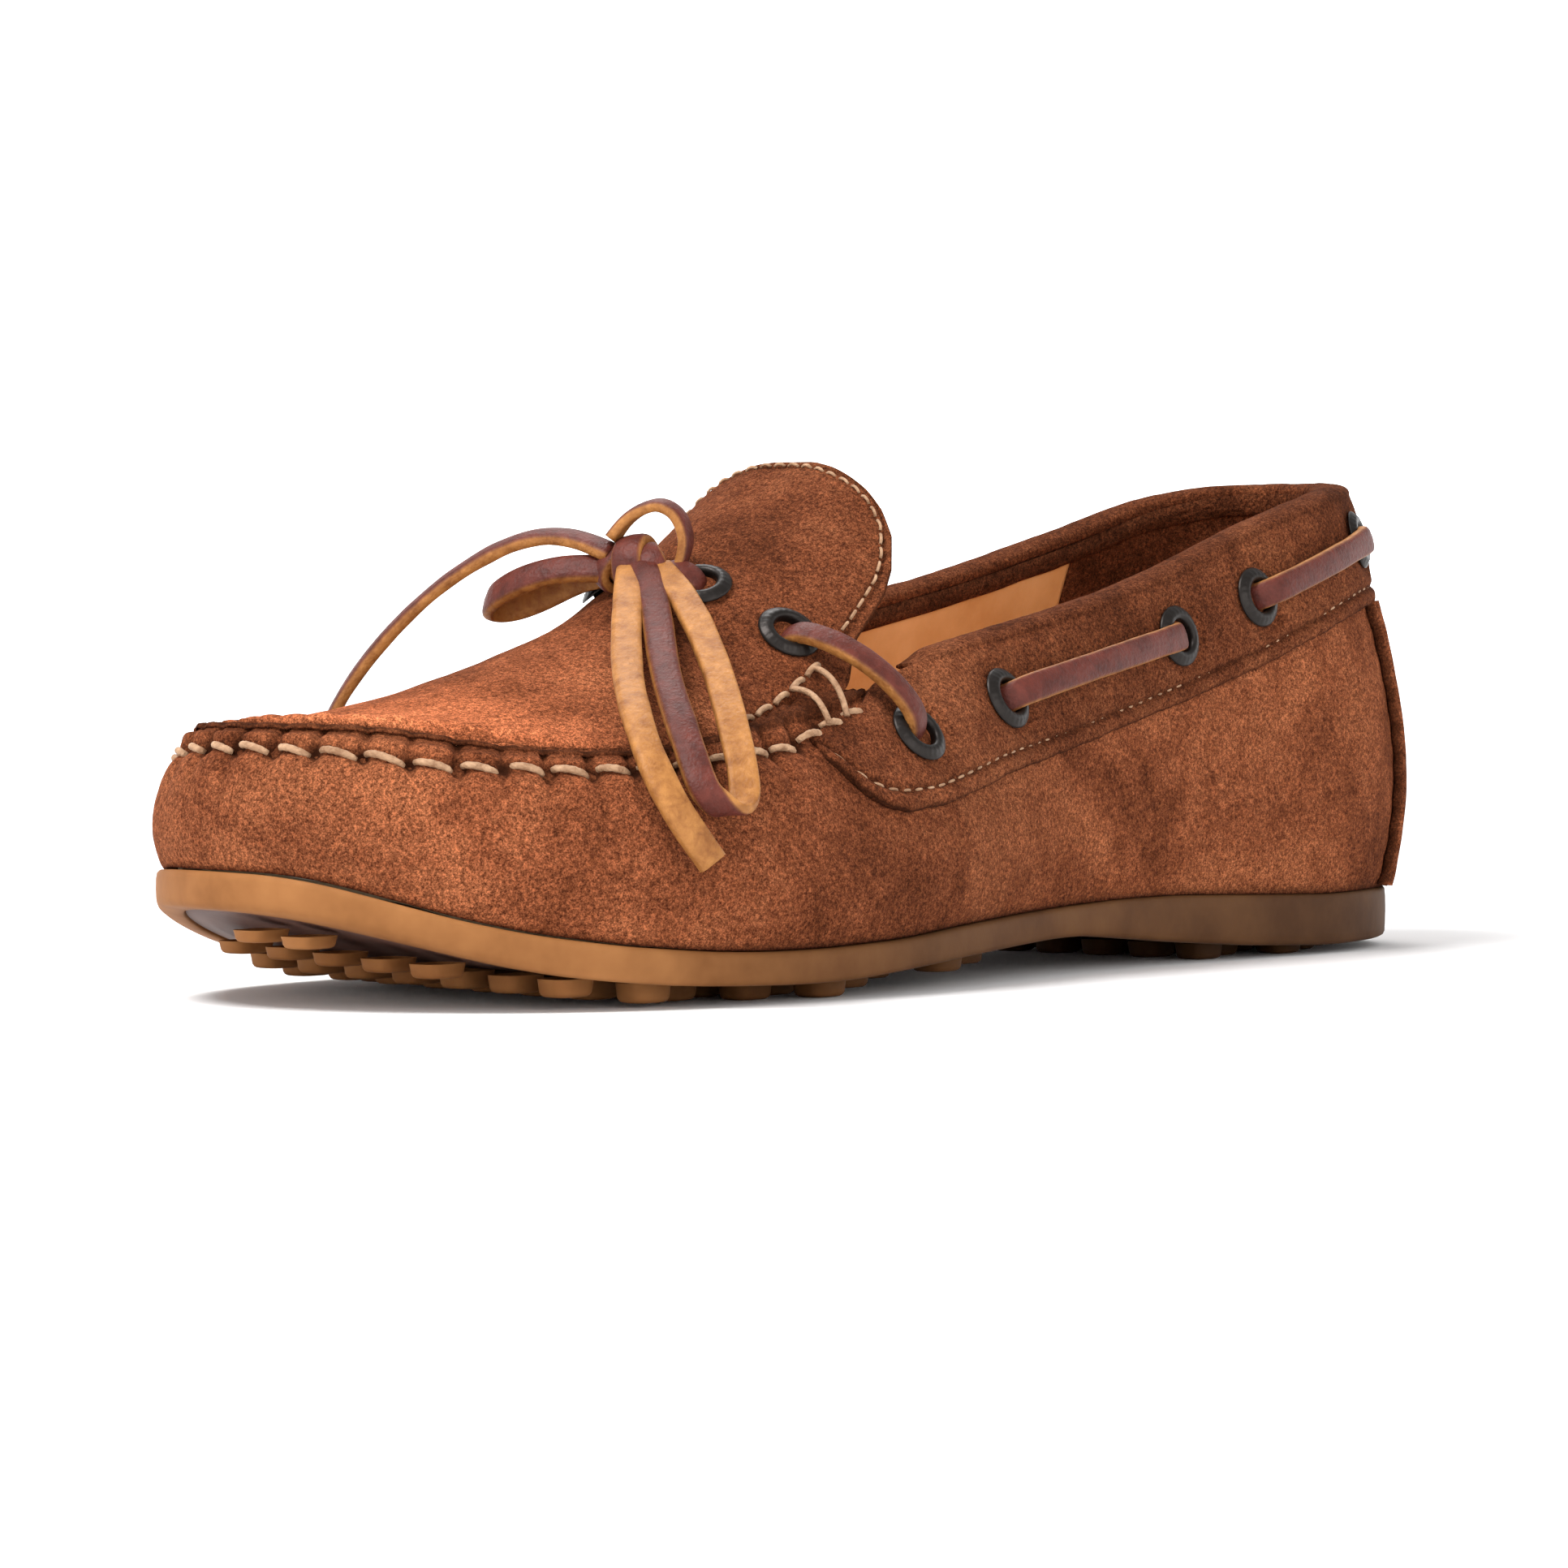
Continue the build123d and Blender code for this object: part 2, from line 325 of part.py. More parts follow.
def roll(u0, u1, n):
    u = np.linspace(u0, u1, n); Pl, Pu = [], []
    for a in u:
        w = wall([a], [1.0])[0, 0]; nn = wall_n([a], [1.0])[0, 0]; h = np.array([nn[0], nn[1], 0]); h /= np.linalg.norm(h)
        d1, d0 = COLLAR_T + GAP + 0.1, float(lin(a, 0.985)) - LINING_T - 0.1
        lo, hi = [], []
        for k in np.linspace(0, 1, 7):
            d = d0 + (d1 - d0) * k; c = np.sqrt(max(0.0, 1 - (2 * k - 1) ** 2))
            b = w + (nn * d if d > 0 else h * d)
            lo.append(b + np.array([0, 0, 0.22])); hi.append(b + np.array([0, 0, 0.42 + 1.5 * c]))
        Pl.append(lo); Pu.append(hi)
    return slab(np.array(Pu), np.array(Pl))
PARTS['collar_binding'] = roll(U_M(163.2) - 1.0, U_L(163.2), 59)
bw = lambda z: float(np.interp(z, [11, 14, 20, 36, 50, 58, 64], [24, 21, 19.3, 19, 19.4, 21, 23.4]))
def stay():
    k = np.linspace(-1, 1, 19); zz = np.linspace(12.0, 63.0, 9); Po, Pi = [], []
    for z in zz:
        uL, uM = U_L(bw(z)), U_M(bw(z)) - 1.0; a = np.where(k >= 0, k * uL, -k * uM)
        P, _ = out_at(a); t = t_of_z(a, z + 0 * a); t = np.clip(t, 0.0, 1)
        w = np.array([wall([q], [tt])[0, 0] for q, tt in zip(a, t)]); n = np.array([wall_n([q], [tt])[0, 0] for q, tt in zip(a, t)])
        Po.append(w + n * (BACKSTAY_T + GAP)); Pi.append(w + n * GAP)
    return slab(np.array(Po), np.array(Pi))
PARTS['backstay'] = stay()

# ---------------------------------------------------------------- apron, tongue and their linings
XG = np.linspace(HINGE_X + 0.25, 284.5, 34)
def top_inner(d, drop=0.0):
    """plan boundary inside the wall's upper edge, from the lateral hinge end round the toe to the medial one"""
    u = np.linspace(U_L(HINGE_X + 1.5), U_M(HINGE_X + 1.5), 60); return wall_off(u, np.array([1.0]), d)[:, 0, :2]
def apron_plan(d, x0):
    B = top_inner(d); k = B[0].copy(); m = B[-1].copy(); k[0] = x0; m[0] = x0
    return [tuple(k)] + [tuple(b) for b in B if b[0] > x0 + 0.6] + [tuple(m)]
ear = 34.3
ap = cap_slab(HINGE_X + 0.25, 285.5, -41, 41, 0.0, -APRON_T, 18, 17) & poly_prism(apron_plan(-WALL_T - 0.2, HINGE_X + 0.25))
PARTS['apron'] = biggest(ap)
al = cap_slab(HINGE_X + 0.25, 285.5, -41, 41, -APRON_T - GAP, -APRON_T - GAP - LINING_T, 18, 17) & poly_prism(apron_plan(-WALL_T - 3.0, HINGE_X + 0.25))
PARTS['apron_lining'] = biggest(al)
TL = [(158.4,0),(158.6,6),(159.6,12),(160.2,18.3),(161.0,22.5),(162.6,26.0),(166.1,28.8),(169.6,30.2),(173.8,30.9),(178.0,31.5),(HINGE_X - 0.25,32.0)]
def tongue_plan(ins):
    a = np.array(TL); T = np.gradient(a, axis=0); T /= np.linalg.norm(T, axis=1)[:, None]; n = np.stack([T[:, 1], -T[:, 0]], 1); a = a + n * ins; a[-1, 0] = HINGE_X - 0.25; a[0, 1] = 0
    b = a[1:].copy(); b[:, 1] *= -0.94
    return [tuple(q) for q in b[::-1]] + [tuple(q) for q in a]
tf = cap_slab(155.0, HINGE_X - 0.25, -36, 36, 0.0, -APRON_T, 7, 15) & poly_prism(tongue_plan(0.0))
PARTS['tongue_flap'] = biggest(tf)
tl = cap_slab(155.0, HINGE_X - 0.25, -36, 36, -APRON_T - GAP, -APRON_T - GAP - LINING_T, 7, 15) & poly_prism(tongue_plan(0.8))
PARTS['tongue_lining'] = biggest(tl)

# ---------------------------------------------------------------- eyelets, their back rings and the holes for them
AE = [(195.3, 11.3), (190.4, 26.5), (192.6, -11.2), (190.2, -25.6)]
CE = [(177.0, 41.7), (148.5, 47.3), (93.6, 58.0), (68.0, 64.9), (22.5, 75.8)]
ae_f = [apron_frame(x, y) for x, y in AE]
ce_f = [wall_frame(x, s, z, COLLAR_T + GAP)[:2] for s in (1, -1) for x, z in CE]
HR = EYELET_BORE / 2 + 0.45 + 0.06
grip_a = APRON_T + GAP + LINING_T; grip_c = COLLAR_T + GAP + WALL_T
eys = [eyelet(p, n, grip_a) for p, n in ae_f]; eyc = [eyelet(p, n, grip_c) for p, n in ce_f]
PARTS['apron_eyelets'] = Compound([e.solid() for e in eys]); PARTS['collar_eyelets'] = Compound([e.solid() for e in eyc])
PARTS['eyelet_washers'] = Compound([washer(p, n, grip_a).solid() for p, n in ae_f] + [washer(p, n, grip_c).solid() for p, n in ce_f])
for q in ('apron', 'apron_lining'):
    s = PARTS[q]
    for i, (p, n) in enumerate(ae_f): s = cut(s, hole(p, n, HR, -7, 3), q + ' %d' % i)
    PARTS[q] = s
vp = PARTS['vamp']
v = PARTS['vamp_lining']
for p, n in (ce_f[0], ce_f[5]): v = cut(v, hole(p, n, 5.2, -7.5, 3), 'vamp_lining')
PARTS['vamp_lining'] = biggest(v)
for i, (p, n) in enumerate(ce_f):
    vp = cut(vp, hole(p, n, HR, -4.4, 3), 'vamp %d' % i); collar = cut(collar, hole(p, n, HR, -4.4, 3), 'collar %d' % i)
    if i not in (0, 5): pad = cut(pad, hole(p, n, EYELET_OD / 2 + 0.2, -6.5, 3), 'pad %d' % i)
PARTS['vamp'] = biggest(vp); PARTS['collar_band'] = biggest(collar)

# ---------------------------------------------------------------- thread of the apron seam
def stitches():
    u = np.linspace(U_L(186.0), U_M(186.0), 1500)
    zs = np.interp(out_at(u)[0][:, 0], [180, 190, 199, 209.7, 224.3, 242, 254.3, 265.7, 275.3, 282, 289], [47, 44.9, 43.2, 40.6, 39.5, 37.8, 37.6, 38.0, 38.8, 40.4, 41.4])
    zs = np.minimum(zs, ZT(out_at(u)[0][:, 0]) - 2.2)
    xs = out_at(u)[0][:, 0]; dd = 0.72 + (COLLAR_T + GAP) * np.clip((209 - xs) / 4, 0, 1)
    P = np.array([wall_off([a], [t_at(a, z)], d)[0, 0] for a, z, d in zip(u[::5], zs[::5], dd[::5])])
    s = np.r_[0, np.cumsum(np.linalg.norm(np.diff(P, axis=0), axis=1))]; n = int(s[-1] // 7.0); out = []
    for i in range(n):
        a = np.array([np.interp(i * 7.0 + 1.0, s, P[:, k]) for k in range(3)]); b = np.array([np.interp(i * 7.0 + 6.4, s, P[:, k]) for k in range(3)])
        d = b - a; L = np.linalg.norm(d); out.append(Solid.make_cylinder(0.5, L, Plane(origin=V(a), z_dir=V(d / L))))
    return out
PARTS['apron_stitching'] = Compound(stitches())

# ---------------------------------------------------------------- the lace where it is held by eyelets
def dive(p, n, side_dir, depth, out=1.55):
    """points that bring the strap up through an eyelet and over its rim towards side_dir"""
    s = side_dir - (side_dir @ n) * n; s /= np.linalg.norm(s)
    return [p - n * depth, p - n * 0.2, p + n * 1.5 + s * 0.9, p + n * (EYELET_PROUD + out) + s * 3.6], s
def run(A, B, mid_lift, n_mid=7):
    (pa, na), (pb, nb) = A, B
    a, sa = dive(pa, na, pb - pa, 2.6); b, sb = dive(pb, nb, pa - pb, 2.6)
    P = list(a); N = [-sa, -sa * 0.85 + na * 0.5, na * 0.75 - sa * 0.6, na]
    c0, c1 = a[-1], b[-1]
    for k in np.linspace(0, 1, n_mid + 2)[1:-1]:
        P.append(c0 * (1 - k) + c1 * k + (na + nb) / 2 * mid_lift * 4 * k * (1 - k)); N.append(na * (1 - k) + nb * k)
    P += list(b)[::-1]; N += [nb, nb * 0.75 - sb * 0.6, -sb * 0.85 + nb * 0.5, -sb]
    return strap(P, N, LACE_W - 0.2, LACE_T)
for k, nm in ((0, 'lace_lateral'), (1, 'lace_medial')):
    C = ce_f[5 * k:5 * k + 5]; R = ae_f[2 * k + 1]
    PARTS[nm] = Compound([run(R, C[0], 2.2), run(C[1], C[2], 1.6), run(C[3], C[4], 1.9)])
# hidden stretches between wall and lining
def tunnel(i, j, s):
    (xa, za), (xb, zb) = CE[i], CE[j]
    ua, ub = (U_L(xa), U_L(xb)) if s > 0 else (U_M(xa), U_M(xb))
    q = np.linspace(0.22, 0.78, 7); us = ua + (ub - ua) * q; zs = za + (zb - za) * q
    P = [wall_off([a], [t_at(a, z)], -WALL_T - 1.25)[0, 0] for a, z in zip(us, zs)]; N = [wall_n([a], [t_at(a, z)])[0, 0] for a, z in zip(us, zs)]
    return strap(P, N, LACE_W, 0.9)
PARTS['lace_tunnel_runs'] = Compound([tunnel(1, 0, 1), tunnel(1, 0, -1), tunnel(3, 2, 1), tunnel(3, 2, -1)])
ua, ub = U_M(22.5) - 1.0, U_L(22.5); us = np.linspace(ua, ub, 15)[1:-1]
back = strap([wall_off([a], [t_at(a, 75.8)], -WALL_T - 1.35)[0, 0] for a in us], [wall_n([a], [t_at(a, 75.8)])[0, 0] for a in us], LACE_W, 0.9)
under_a = [strap(resample([apron_frame(AE[i][0] + (AE[j][0] - AE[i][0]) * k, AE[i][1] + (AE[j][1] - AE[i][1]) * k, -grip_a - 2.55)[0] for k in np.linspace(0.1, 0.9, 7)], 7), [apron_frame(AE[i][0], AE[i][1])[1]] * 7, LACE_W, 1.6) for i, j in ((0, 1), (2, 3))]
PARTS['lace_tunnel_runs'] = Compound(list(PARTS['lace_tunnel_runs'].solids()) + [back] + under_a)
cutters = []
for (i, j) in ((3, 2),):
    for s in (1, -1):
        (xa, za), (xb, zb) = CE[i], CE[j]; ua, ub = (U_L(xa), U_L(xb)) if s > 0 else (U_M(xa), U_M(xb))
        us = np.linspace(ua, ub, 9); zs = np.linspace(za, zb, 9)
        cutters.append(strap([wall_off([a], [t_at(a, z)], -WALL_T - 1.2)[0, 0] for a, z in zip(us, zs)], [wall_n([a], [t_at(a, z)])[0, 0] for a, z in zip(us, zs)], LACE_W + 1.0, 2.8))
us = np.linspace(U_M(22.5) - 1.0, U_L(22.5), 15)
cutters.append(strap([wall_off([a], [t_at(a, 75.8)], -WALL_T - 1.2)[0, 0] for a in us], [wall_n([a], [t_at(a, 75.8)])[0, 0] for a in us], LACE_W + 1.0, 2.8))
for c in cutters: pad = cut(pad, c, 'pad tunnel')
PARTS['collar_padding'] = pad

# ---------------------------------------------------------------- bow: knot, two loops and two tails, flat rawhide
KN = np.array([199.3, 0.6, 0.0]); KN[2] = float(apron(KN[0], KN[1])) + 3.7; kn = apron_n(KN[0], KN[1])
knot_pl = Plane(origin=V(KN), x_dir=V(np.cross([0, 1.0, 0], kn)), z_dir=V(kn))
knot = knot_pl * (Ellipse(6.2, 4.6).face() and extrude(Ellipse(4.8, 6.6), 3.3, both=True))
knot = fillet(knot.edges(), 2.2).solid()
def lead(i):
    p, n = ae_f[i]; q = KN + np.array([0, np.sign(p[1] - KN[1]) * 4.6, 0]) + kn * -1.6
    a, s = dive(p, n, q - p, 2.6, 0.6)
    P = a[:3] + [p + n * 2.6 + s * 3.4, (p + n * 2.6 + s * 3.4) * .4 + q * .6, q]; N = [-s, -s * .85 + n * .5, n * .75 - s * .6, n, (n + kn) / 2, kn]
    return strap(P, N, LACE_W - 0.2, LACE_T)
kl = [lead(0), lead(2)]
RISER = [(195.6, 7.2, 69.6), (194.9, 8.6, 74.2), (195.3, 7.0, 79.0), (196.6, 3.4, 81.0), (199.4, -0.8, 78.6), (201.4, -3.0, 74.6)]
RISER_N = [(-.5, .8, .2), (-.4, .8, .4), (-.2, .7, .7), (.1, .2, 1), (.3, -.5, .8), (.4, -.8, .3)]
riser = strap(RISER, RISER_N, LACE_W - 0.4, LACE_T - 0.2)
bed = cap_slab(184, 214, -13, 13, 0.35, -6.0)
kl = [cut(biggest(knot), bed, 'knot'), cut(kl[0], PARTS['apron'], 'lead'), cut(kl[1], PARTS['apron'], 'lead'), cut(riser, bed, 'riser')]
print('knot on apron', [round(sum(q.volume for q in (s & PARTS['apron']).solids()), 4) if (s & PARTS['apron']) is not None else 0 for s in kl])
PARTS['lace_knot'] = Compound(kl)
# routes of the four free ends: points, and the way the broad side faces at each
ROUTES = {
 'bow_loop_lateral': ([(201.6,4.2,70.6),(207.0,11.0,66.4),(213.8,18.4,60.6),(220.6,25.2,55.4),(227.0,32.2,50.6),(232.6,39.4,45.4),(236.6,45.4,39.8),(238.6,49.6,34.4),(237.6,50.9,32.6),(235.7,51.5,31.3),(233.4,51.8,31.1),(231.3,52.0,32.6),(229.0,49.4,37.6),(223.4,42.0,46.0),(216.6,33.4,53.0),(209.8,23.6,60.2),(204.4,14.4,66.2),(201.0,7.0,69.6)],
   [(.5,.3,.8),(.5,.4,.75),(.5,.5,.7),(.5,.52,.68),(.5,.55,.66),(.55,.6,.58),(.6,.62,.5),(.62,.62,.48),(.68,.68,-.28),(.34,.34,-.88),(-.2,-.2,-.96),(-.62,-.62,-.48),(-.6,-.6,-.5),(-.5,-.55,-.62),(-.45,-.5,-.68),(-.4,-.5,-.7),(-.4,-.4,-.75),(-.4,-.3,-.8)]),
 'bow_tail_lateral': ([(201.4,1.6,70.4),(207.8,6.8,67.2),(216.0,13.4,61.6),(224.2,20.6,56.2),(232.4,28.4,51.0),(239.6,36.4,46.2),(244.4,43.6,39.6),(244.6,49.2,31.4),(239.8,52.6,23.2)],
   [(.5,.3,.8),(.5,.35,.8),(.5,.4,.75),(.5,.45,.7),(.5,.5,.7),(.5,.6,.6),(.5,.8,.35),(.4,.9,.15),(.4,.9,.1)]),
 'bow_tail_medial': ([(201.0,-2.8,72.4),(202.6,-8.6,74.8),(203.8,-14.6,75.6),(205.6,-21.0,74.4),(208.2,-27.4,71.2),(211.6,-33.4,66.6),(214.8,-39.0,60.8),(217.6,-44.5,54.0),(219.6,-49.5,46.4),(220.4,-53.0,38.0)],
   [(.3,0,1),(.3,0,1),(.35,0,1),(.4,-.1,.95),(.5,-.3,.85),(.55,-.4,.75),(.6,-.5,.65),(.6,-.55,.55),(.6,-.65,.45),(.6,-.75,.3)]),
 'bow_loop_medial': ([(202.2,-3.6,69.8),(206.0,-10.4,69.9),(208.2,-17.4,68.0),(208.6,-23.6,65.2),(205.2,-27.6,63.2),(200.8,-26.0,63.2),(198.6,-19.6,65.6),(198.2,-12.6,68.2),(198.8,-6.2,69.4)],
   [(.8,-.3,.5),(.85,-.3,.4),(.9,-.3,.3),(.75,-.6,.2),(.1,-1,.1),(-.8,-.5,.2),(-.9,.1,.3),(-.9,.2,.3),(-.85,.3,.4)]),
}
for nm, (P, N) in ROUTES.items():
    PARTS[nm] = arcs(P, N, nm)

# ---------------------------------------------------------------- origin at the bottom centre of the shoe without its free ends
CORDS = ('lace_knot',) + tuple(ROUTES)
bb = Compound([s for n, p in PARTS.items() if n not in CORDS for s in p.solids()]).bounding_box()
cx, cy, cz = (bb.min.X + bb.max.X) / 2, (bb.min.Y + bb.max.Y) / 2, bb.min.Z
print('centre', cx, cy, cz, 'size', bb.size)
os.makedirs("parts", exist_ok=True)
for n, p in PARTS.items():
    export_step(p.moved(Location((-cx, -cy, -cz))), "parts/" + n + ".step")
    print(n, len(p.solids()), round(sum(s.volume for s in p.solids())), all(s.is_valid for s in p.solids()))
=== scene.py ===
"""Looks of the moccasin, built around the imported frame. Lengths in the helper functions are millimetres in the
shoe's own coordinates (heel at X 0, +Y lateral, Z up); put() moves them to the row frame in metres."""
import json
import math
import bpy
import numpy as np
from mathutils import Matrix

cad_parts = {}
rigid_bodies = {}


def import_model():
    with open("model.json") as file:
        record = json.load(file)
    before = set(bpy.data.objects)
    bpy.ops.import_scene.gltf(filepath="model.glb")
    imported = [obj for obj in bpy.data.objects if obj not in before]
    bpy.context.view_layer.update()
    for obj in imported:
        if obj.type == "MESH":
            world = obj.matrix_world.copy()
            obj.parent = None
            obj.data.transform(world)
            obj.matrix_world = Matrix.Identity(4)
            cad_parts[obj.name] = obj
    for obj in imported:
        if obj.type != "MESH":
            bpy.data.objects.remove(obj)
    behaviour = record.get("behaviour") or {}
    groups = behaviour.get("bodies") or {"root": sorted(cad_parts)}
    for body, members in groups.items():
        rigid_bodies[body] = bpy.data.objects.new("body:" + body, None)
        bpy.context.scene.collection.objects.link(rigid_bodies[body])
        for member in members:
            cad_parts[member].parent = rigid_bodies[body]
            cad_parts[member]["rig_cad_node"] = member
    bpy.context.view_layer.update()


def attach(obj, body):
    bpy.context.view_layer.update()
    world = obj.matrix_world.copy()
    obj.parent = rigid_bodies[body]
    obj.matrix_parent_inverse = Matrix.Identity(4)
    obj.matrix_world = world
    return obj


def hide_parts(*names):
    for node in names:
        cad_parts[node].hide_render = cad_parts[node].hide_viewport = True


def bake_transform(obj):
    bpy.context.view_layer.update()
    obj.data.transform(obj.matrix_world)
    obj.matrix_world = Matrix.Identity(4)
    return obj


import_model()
CX, CY = 142.2676234740759, 0.1527742245948822
WALL_T, APRON_T, LINING_T, COLLAR_T, BACKSTAY_T, GAP = 1.6, 1.8, 0.9, 1.25, 1.8, 0.07
EYELET_OD, EYELET_BORE, EYELET_PROUD = 11.0, 5.8, 1.3
LACE_W, LACE_T, HINGE_X = 5.0, 2.2, 184.0
STUD_DROP, STUD_L, STUD_W, STUD_PX, STUD_PY = 3.0, 8.6, 6.4, 12.4, 10.6

# ------------------------------------------------------------------ master shape, the same as the solids'
SOLE = [(0,0),(8,20),(30,33),(60,35.5),(100,36),(140,41),(180,49.5),(205,51.5),(232,49),(257,39),(275,24),(285,8),
        (288,-8),(280,-30),(260,-44),(235,-50),(207,-51),(180,-47),(150,-39),(120,-33),(90,-31),(60,-33),(30,-31.5),(8,-19)]
def closed_spline(ctrl, n):
    c = np.array(ctrl, float); m = len(c)
    h = np.linalg.norm(np.roll(c, -1, 0) - c, axis=1)
    A = np.zeros((m, m)); R = np.zeros((m, 2))
    for i in range(m):
        a, b = h[i - 1], h[i]
        A[i, i - 1] += a; A[i, i] += 2 * (a + b); A[i, (i + 1) % m] += b
        R[i] = 6 * ((c[(i + 1) % m] - c[i]) / b - (c[i] - c[i - 1]) / a)
    M = np.linalg.solve(A, R)
    P = []
    for i in range(m):
        k = np.linspace(0, 1, 40, endpoint=False)[:, None]; j = (i + 1) % m
        P.append((1 - k) * c[i] + k * c[j] + h[i] ** 2 / 6 * (((1 - k) ** 3 - (1 - k)) * M[i] + (k ** 3 - k) * M[j]))
    P = np.vstack(P); P = np.vstack([P, P[:1]])
    s = np.r_[0, np.cumsum(np.linalg.norm(np.diff(P, axis=0), axis=1))]
    q = np.linspace(0, s[-1], n, endpoint=False)
    return np.stack([np.interp(q, s, P[:, 0]), np.interp(q, s, P[:, 1])], 1), s[-1]
NOUT = 1440
OUT, PERIM = closed_spline(SOLE, NOUT)
TAN = np.roll(OUT, -1, 0) - np.roll(OUT, 1, 0); TAN /= np.linalg.norm(TAN, axis=1)[:, None]
NOR = np.stack([-TAN[:, 1], TAN[:, 0]], 1)            # outline runs heel, lateral, toe, medial: outward on its left
def table(pts, sm=5.0, lo=-20, hi=310):
    p = np.array(pts, float); p = p[p[:, 0].argsort()]
    x = np.arange(lo, hi + .5, 1.0); y = np.interp(x, p[:, 0], p[:, 1])
    if sm > 0:
        k = np.exp(-.5 * (np.arange(-25, 26) / sm) ** 2); k /= k.sum()
        y = np.convolve(np.pad(y, 25, mode='edge'), k, mode='valid')
    return lambda X: np.interp(X, x, y)
K_SKEW = 0.20                                        # the toe rises along a line oblique to X
ZFx = table([(0,11.4),(20,11.2),(46,11.0),(70,11.7),(92,12.4),(110,12.4),(129,11.9),(150,11.2),(171,10.3),(189,9.1),(210,8.5),(223,8.5),(234,8.9),(249,10.2),(262,12.2),(271,14.6),(280,18.3),(285,20.9),(288,22.4),(300,22.4)],3)
ZBx = table([(0,2.0),(29,1.7),(46,1.5),(70,2.4),(92,3.9),(110,5.4),(124,6.5),(133,6.5),(150,5.9),(171,5.0),(189,3.9),(204,3.0),(216,2.9),(229,3.2),(240,3.6),(249,4.4),(258,5.6),(266,7.5),(273,9.9),(278,11.8),(282,13.4),(285,14.8),(288,16.3),(300,16.3)],3)
ZT = table([(300,47),(280,46.3),(270,43.8),(262,42.6),(252,42.0),(240,42.2),(222,43.2),(206,44.5),(196,46.2),(186,48),(178,50),(168,53),(158,55),(144,57.5),(125,61),(108,64.5),(90,69),(79,72.3),(63,77),(45,81),(28,83.6),(8,85.3),(0,85.5)],4)
def side_y(X):
    i = NOUT // 2; a = OUT[:, 0].argmax()
    return np.interp(X, OUT[:a + 1, 0], OUT[:a + 1, 1])
def _skew(f):
    x = np.arange(0, 289.); key = x - K_SKEW * side_y(x) * np.clip((x - 150) / 60, 0, 1); v = f(x)
    o = np.argsort(key); k, v = key[o], v[o]
    def g(X, Y=0.0):
        X = np.asarray(X, float); return np.interp(X - K_SKEW * np.asarray(Y, float) * np.clip((X - 150) / 60, 0, 1), k, v)
    return g
ZF = _skew(ZFx); ZB = _skew(ZBx)
ZMED = table([(0,0),(10,0),(28,-1.2),(45,-3.4),(63,-3.8),(80,-2.8),(100,-1.2),(125,-.5),(150,0),(300,0)],5)
# sideways offset of the wall from the sole's rim at five heights
TT = np.array([0, .25, .5, .75, 1.0])
LAT = {0:(-.6,2.0,.3,-4.3,-8.3), 30:(-.6,1.8,.4,-3.2,-8.4), 45:(-.7,1.3,.4,-2.2,-7.6), 63:(-.8,.9,.3,-1.6,-5.8), 90:(-.8,.8,.4,-1.0,-4.2), 108:(-.8,.9,.5,-.8,-3.9), 125:(-.9,1.0,.3,-1.5,-5.4),
       144:(-1,1.0,0,-3,-8.0), 158:(-1,1.1,-.2,-3.8,-10.2), 168:(-1,1.2,-.4,-4.6,-12), 178:(-1,1.2,-.5,-5.4,-13.6), 190:(-1,1.2,-.6,-5.2,-13), 206:(-1,1.2,-.5,-4.4,-11.5), 222:(-1,1.1,-.4,-3.8,-10), 240:(-1,1.0,-.3,-3.2,-8.8),
       262:(-1,.8,-.3,-2.6,-7.8), 276:(-1,.6,-.3,-2.2,-7.2), 288:(-1,.4,-.3,-2.0,-6.8)}
MED = dict(LAT)
MED.update({63:(-.7,1.5,1.4,-.4,-5.2), 90:(-.6,2.0,2.4,1.2,-2.6), 108:(-.6,2.2,2.4,1.0,-3.0), 125:(-.7,1.8,1.4,-.6,-4.6), 144:(-.9,1.5,.5,-2.2,-6.6), 158:(-1,1.3,.1,-3.2,-8.8), 168:(-1,1.2,-.2,-4.0,-10.6), 178:(-1,1.2,-.4,-4.8,-12.2),
            190:(-1,1.2,-.5,-4.6,-11.8), 262:(-1,.6,-.3,-2.2,-6.6), 276:(-1,.4,-.6,-3.6,-6.6), 288:(-1,.4,-.5,-3.0,-6.8)})
def offs(d):
    k = sorted(d); return [table([(q, d[q][i]) for q in k], 5) for i in range(5)]
FL, FM = offs(LAT), offs(MED)
def cubic_t(V, t):
    """smooth curve through five values at TT (natural cubic), V (n,5), t (m,) -> (n,m)"""
    n = 5; h = .25
    A = np.zeros((n, n)); A[0, 0] = A[-1, -1] = 1
    for i in range(1, 4): A[i, i - 1:i + 2] = [h, 4 * h, h]
    R = np.zeros((V.shape[0], n)); R[:, 1:4] = 6 * (V[:, 2:] - 2 * V[:, 1:4] + V[:, :3]) / h
    M = np.linalg.solve(A, R.T).T
    t = np.asarray(t, float); i = np.clip((t / h).astype(int), 0, 3); k = t / h - i
    return (1 - k) * V[:, i] + k * V[:, i + 1] + h * h / 6 * (((1 - k) ** 3 - (1 - k)) * M[:, i] + (k ** 3 - k) * M[:, i + 1])
def out_at(u):
    q = (np.asarray(u, float) % 1.0) * NOUT; i = q.astype(int) % NOUT; f = (q - np.floor(q))[..., None]; j = (i + 1) % NOUT
    P = OUT[i] * (1 - f) + OUT[j] * f; N = NOR[i] * (1 - f) + NOR[j] * f
    return P, N / np.linalg.norm(N, axis=-1, keepdims=True)
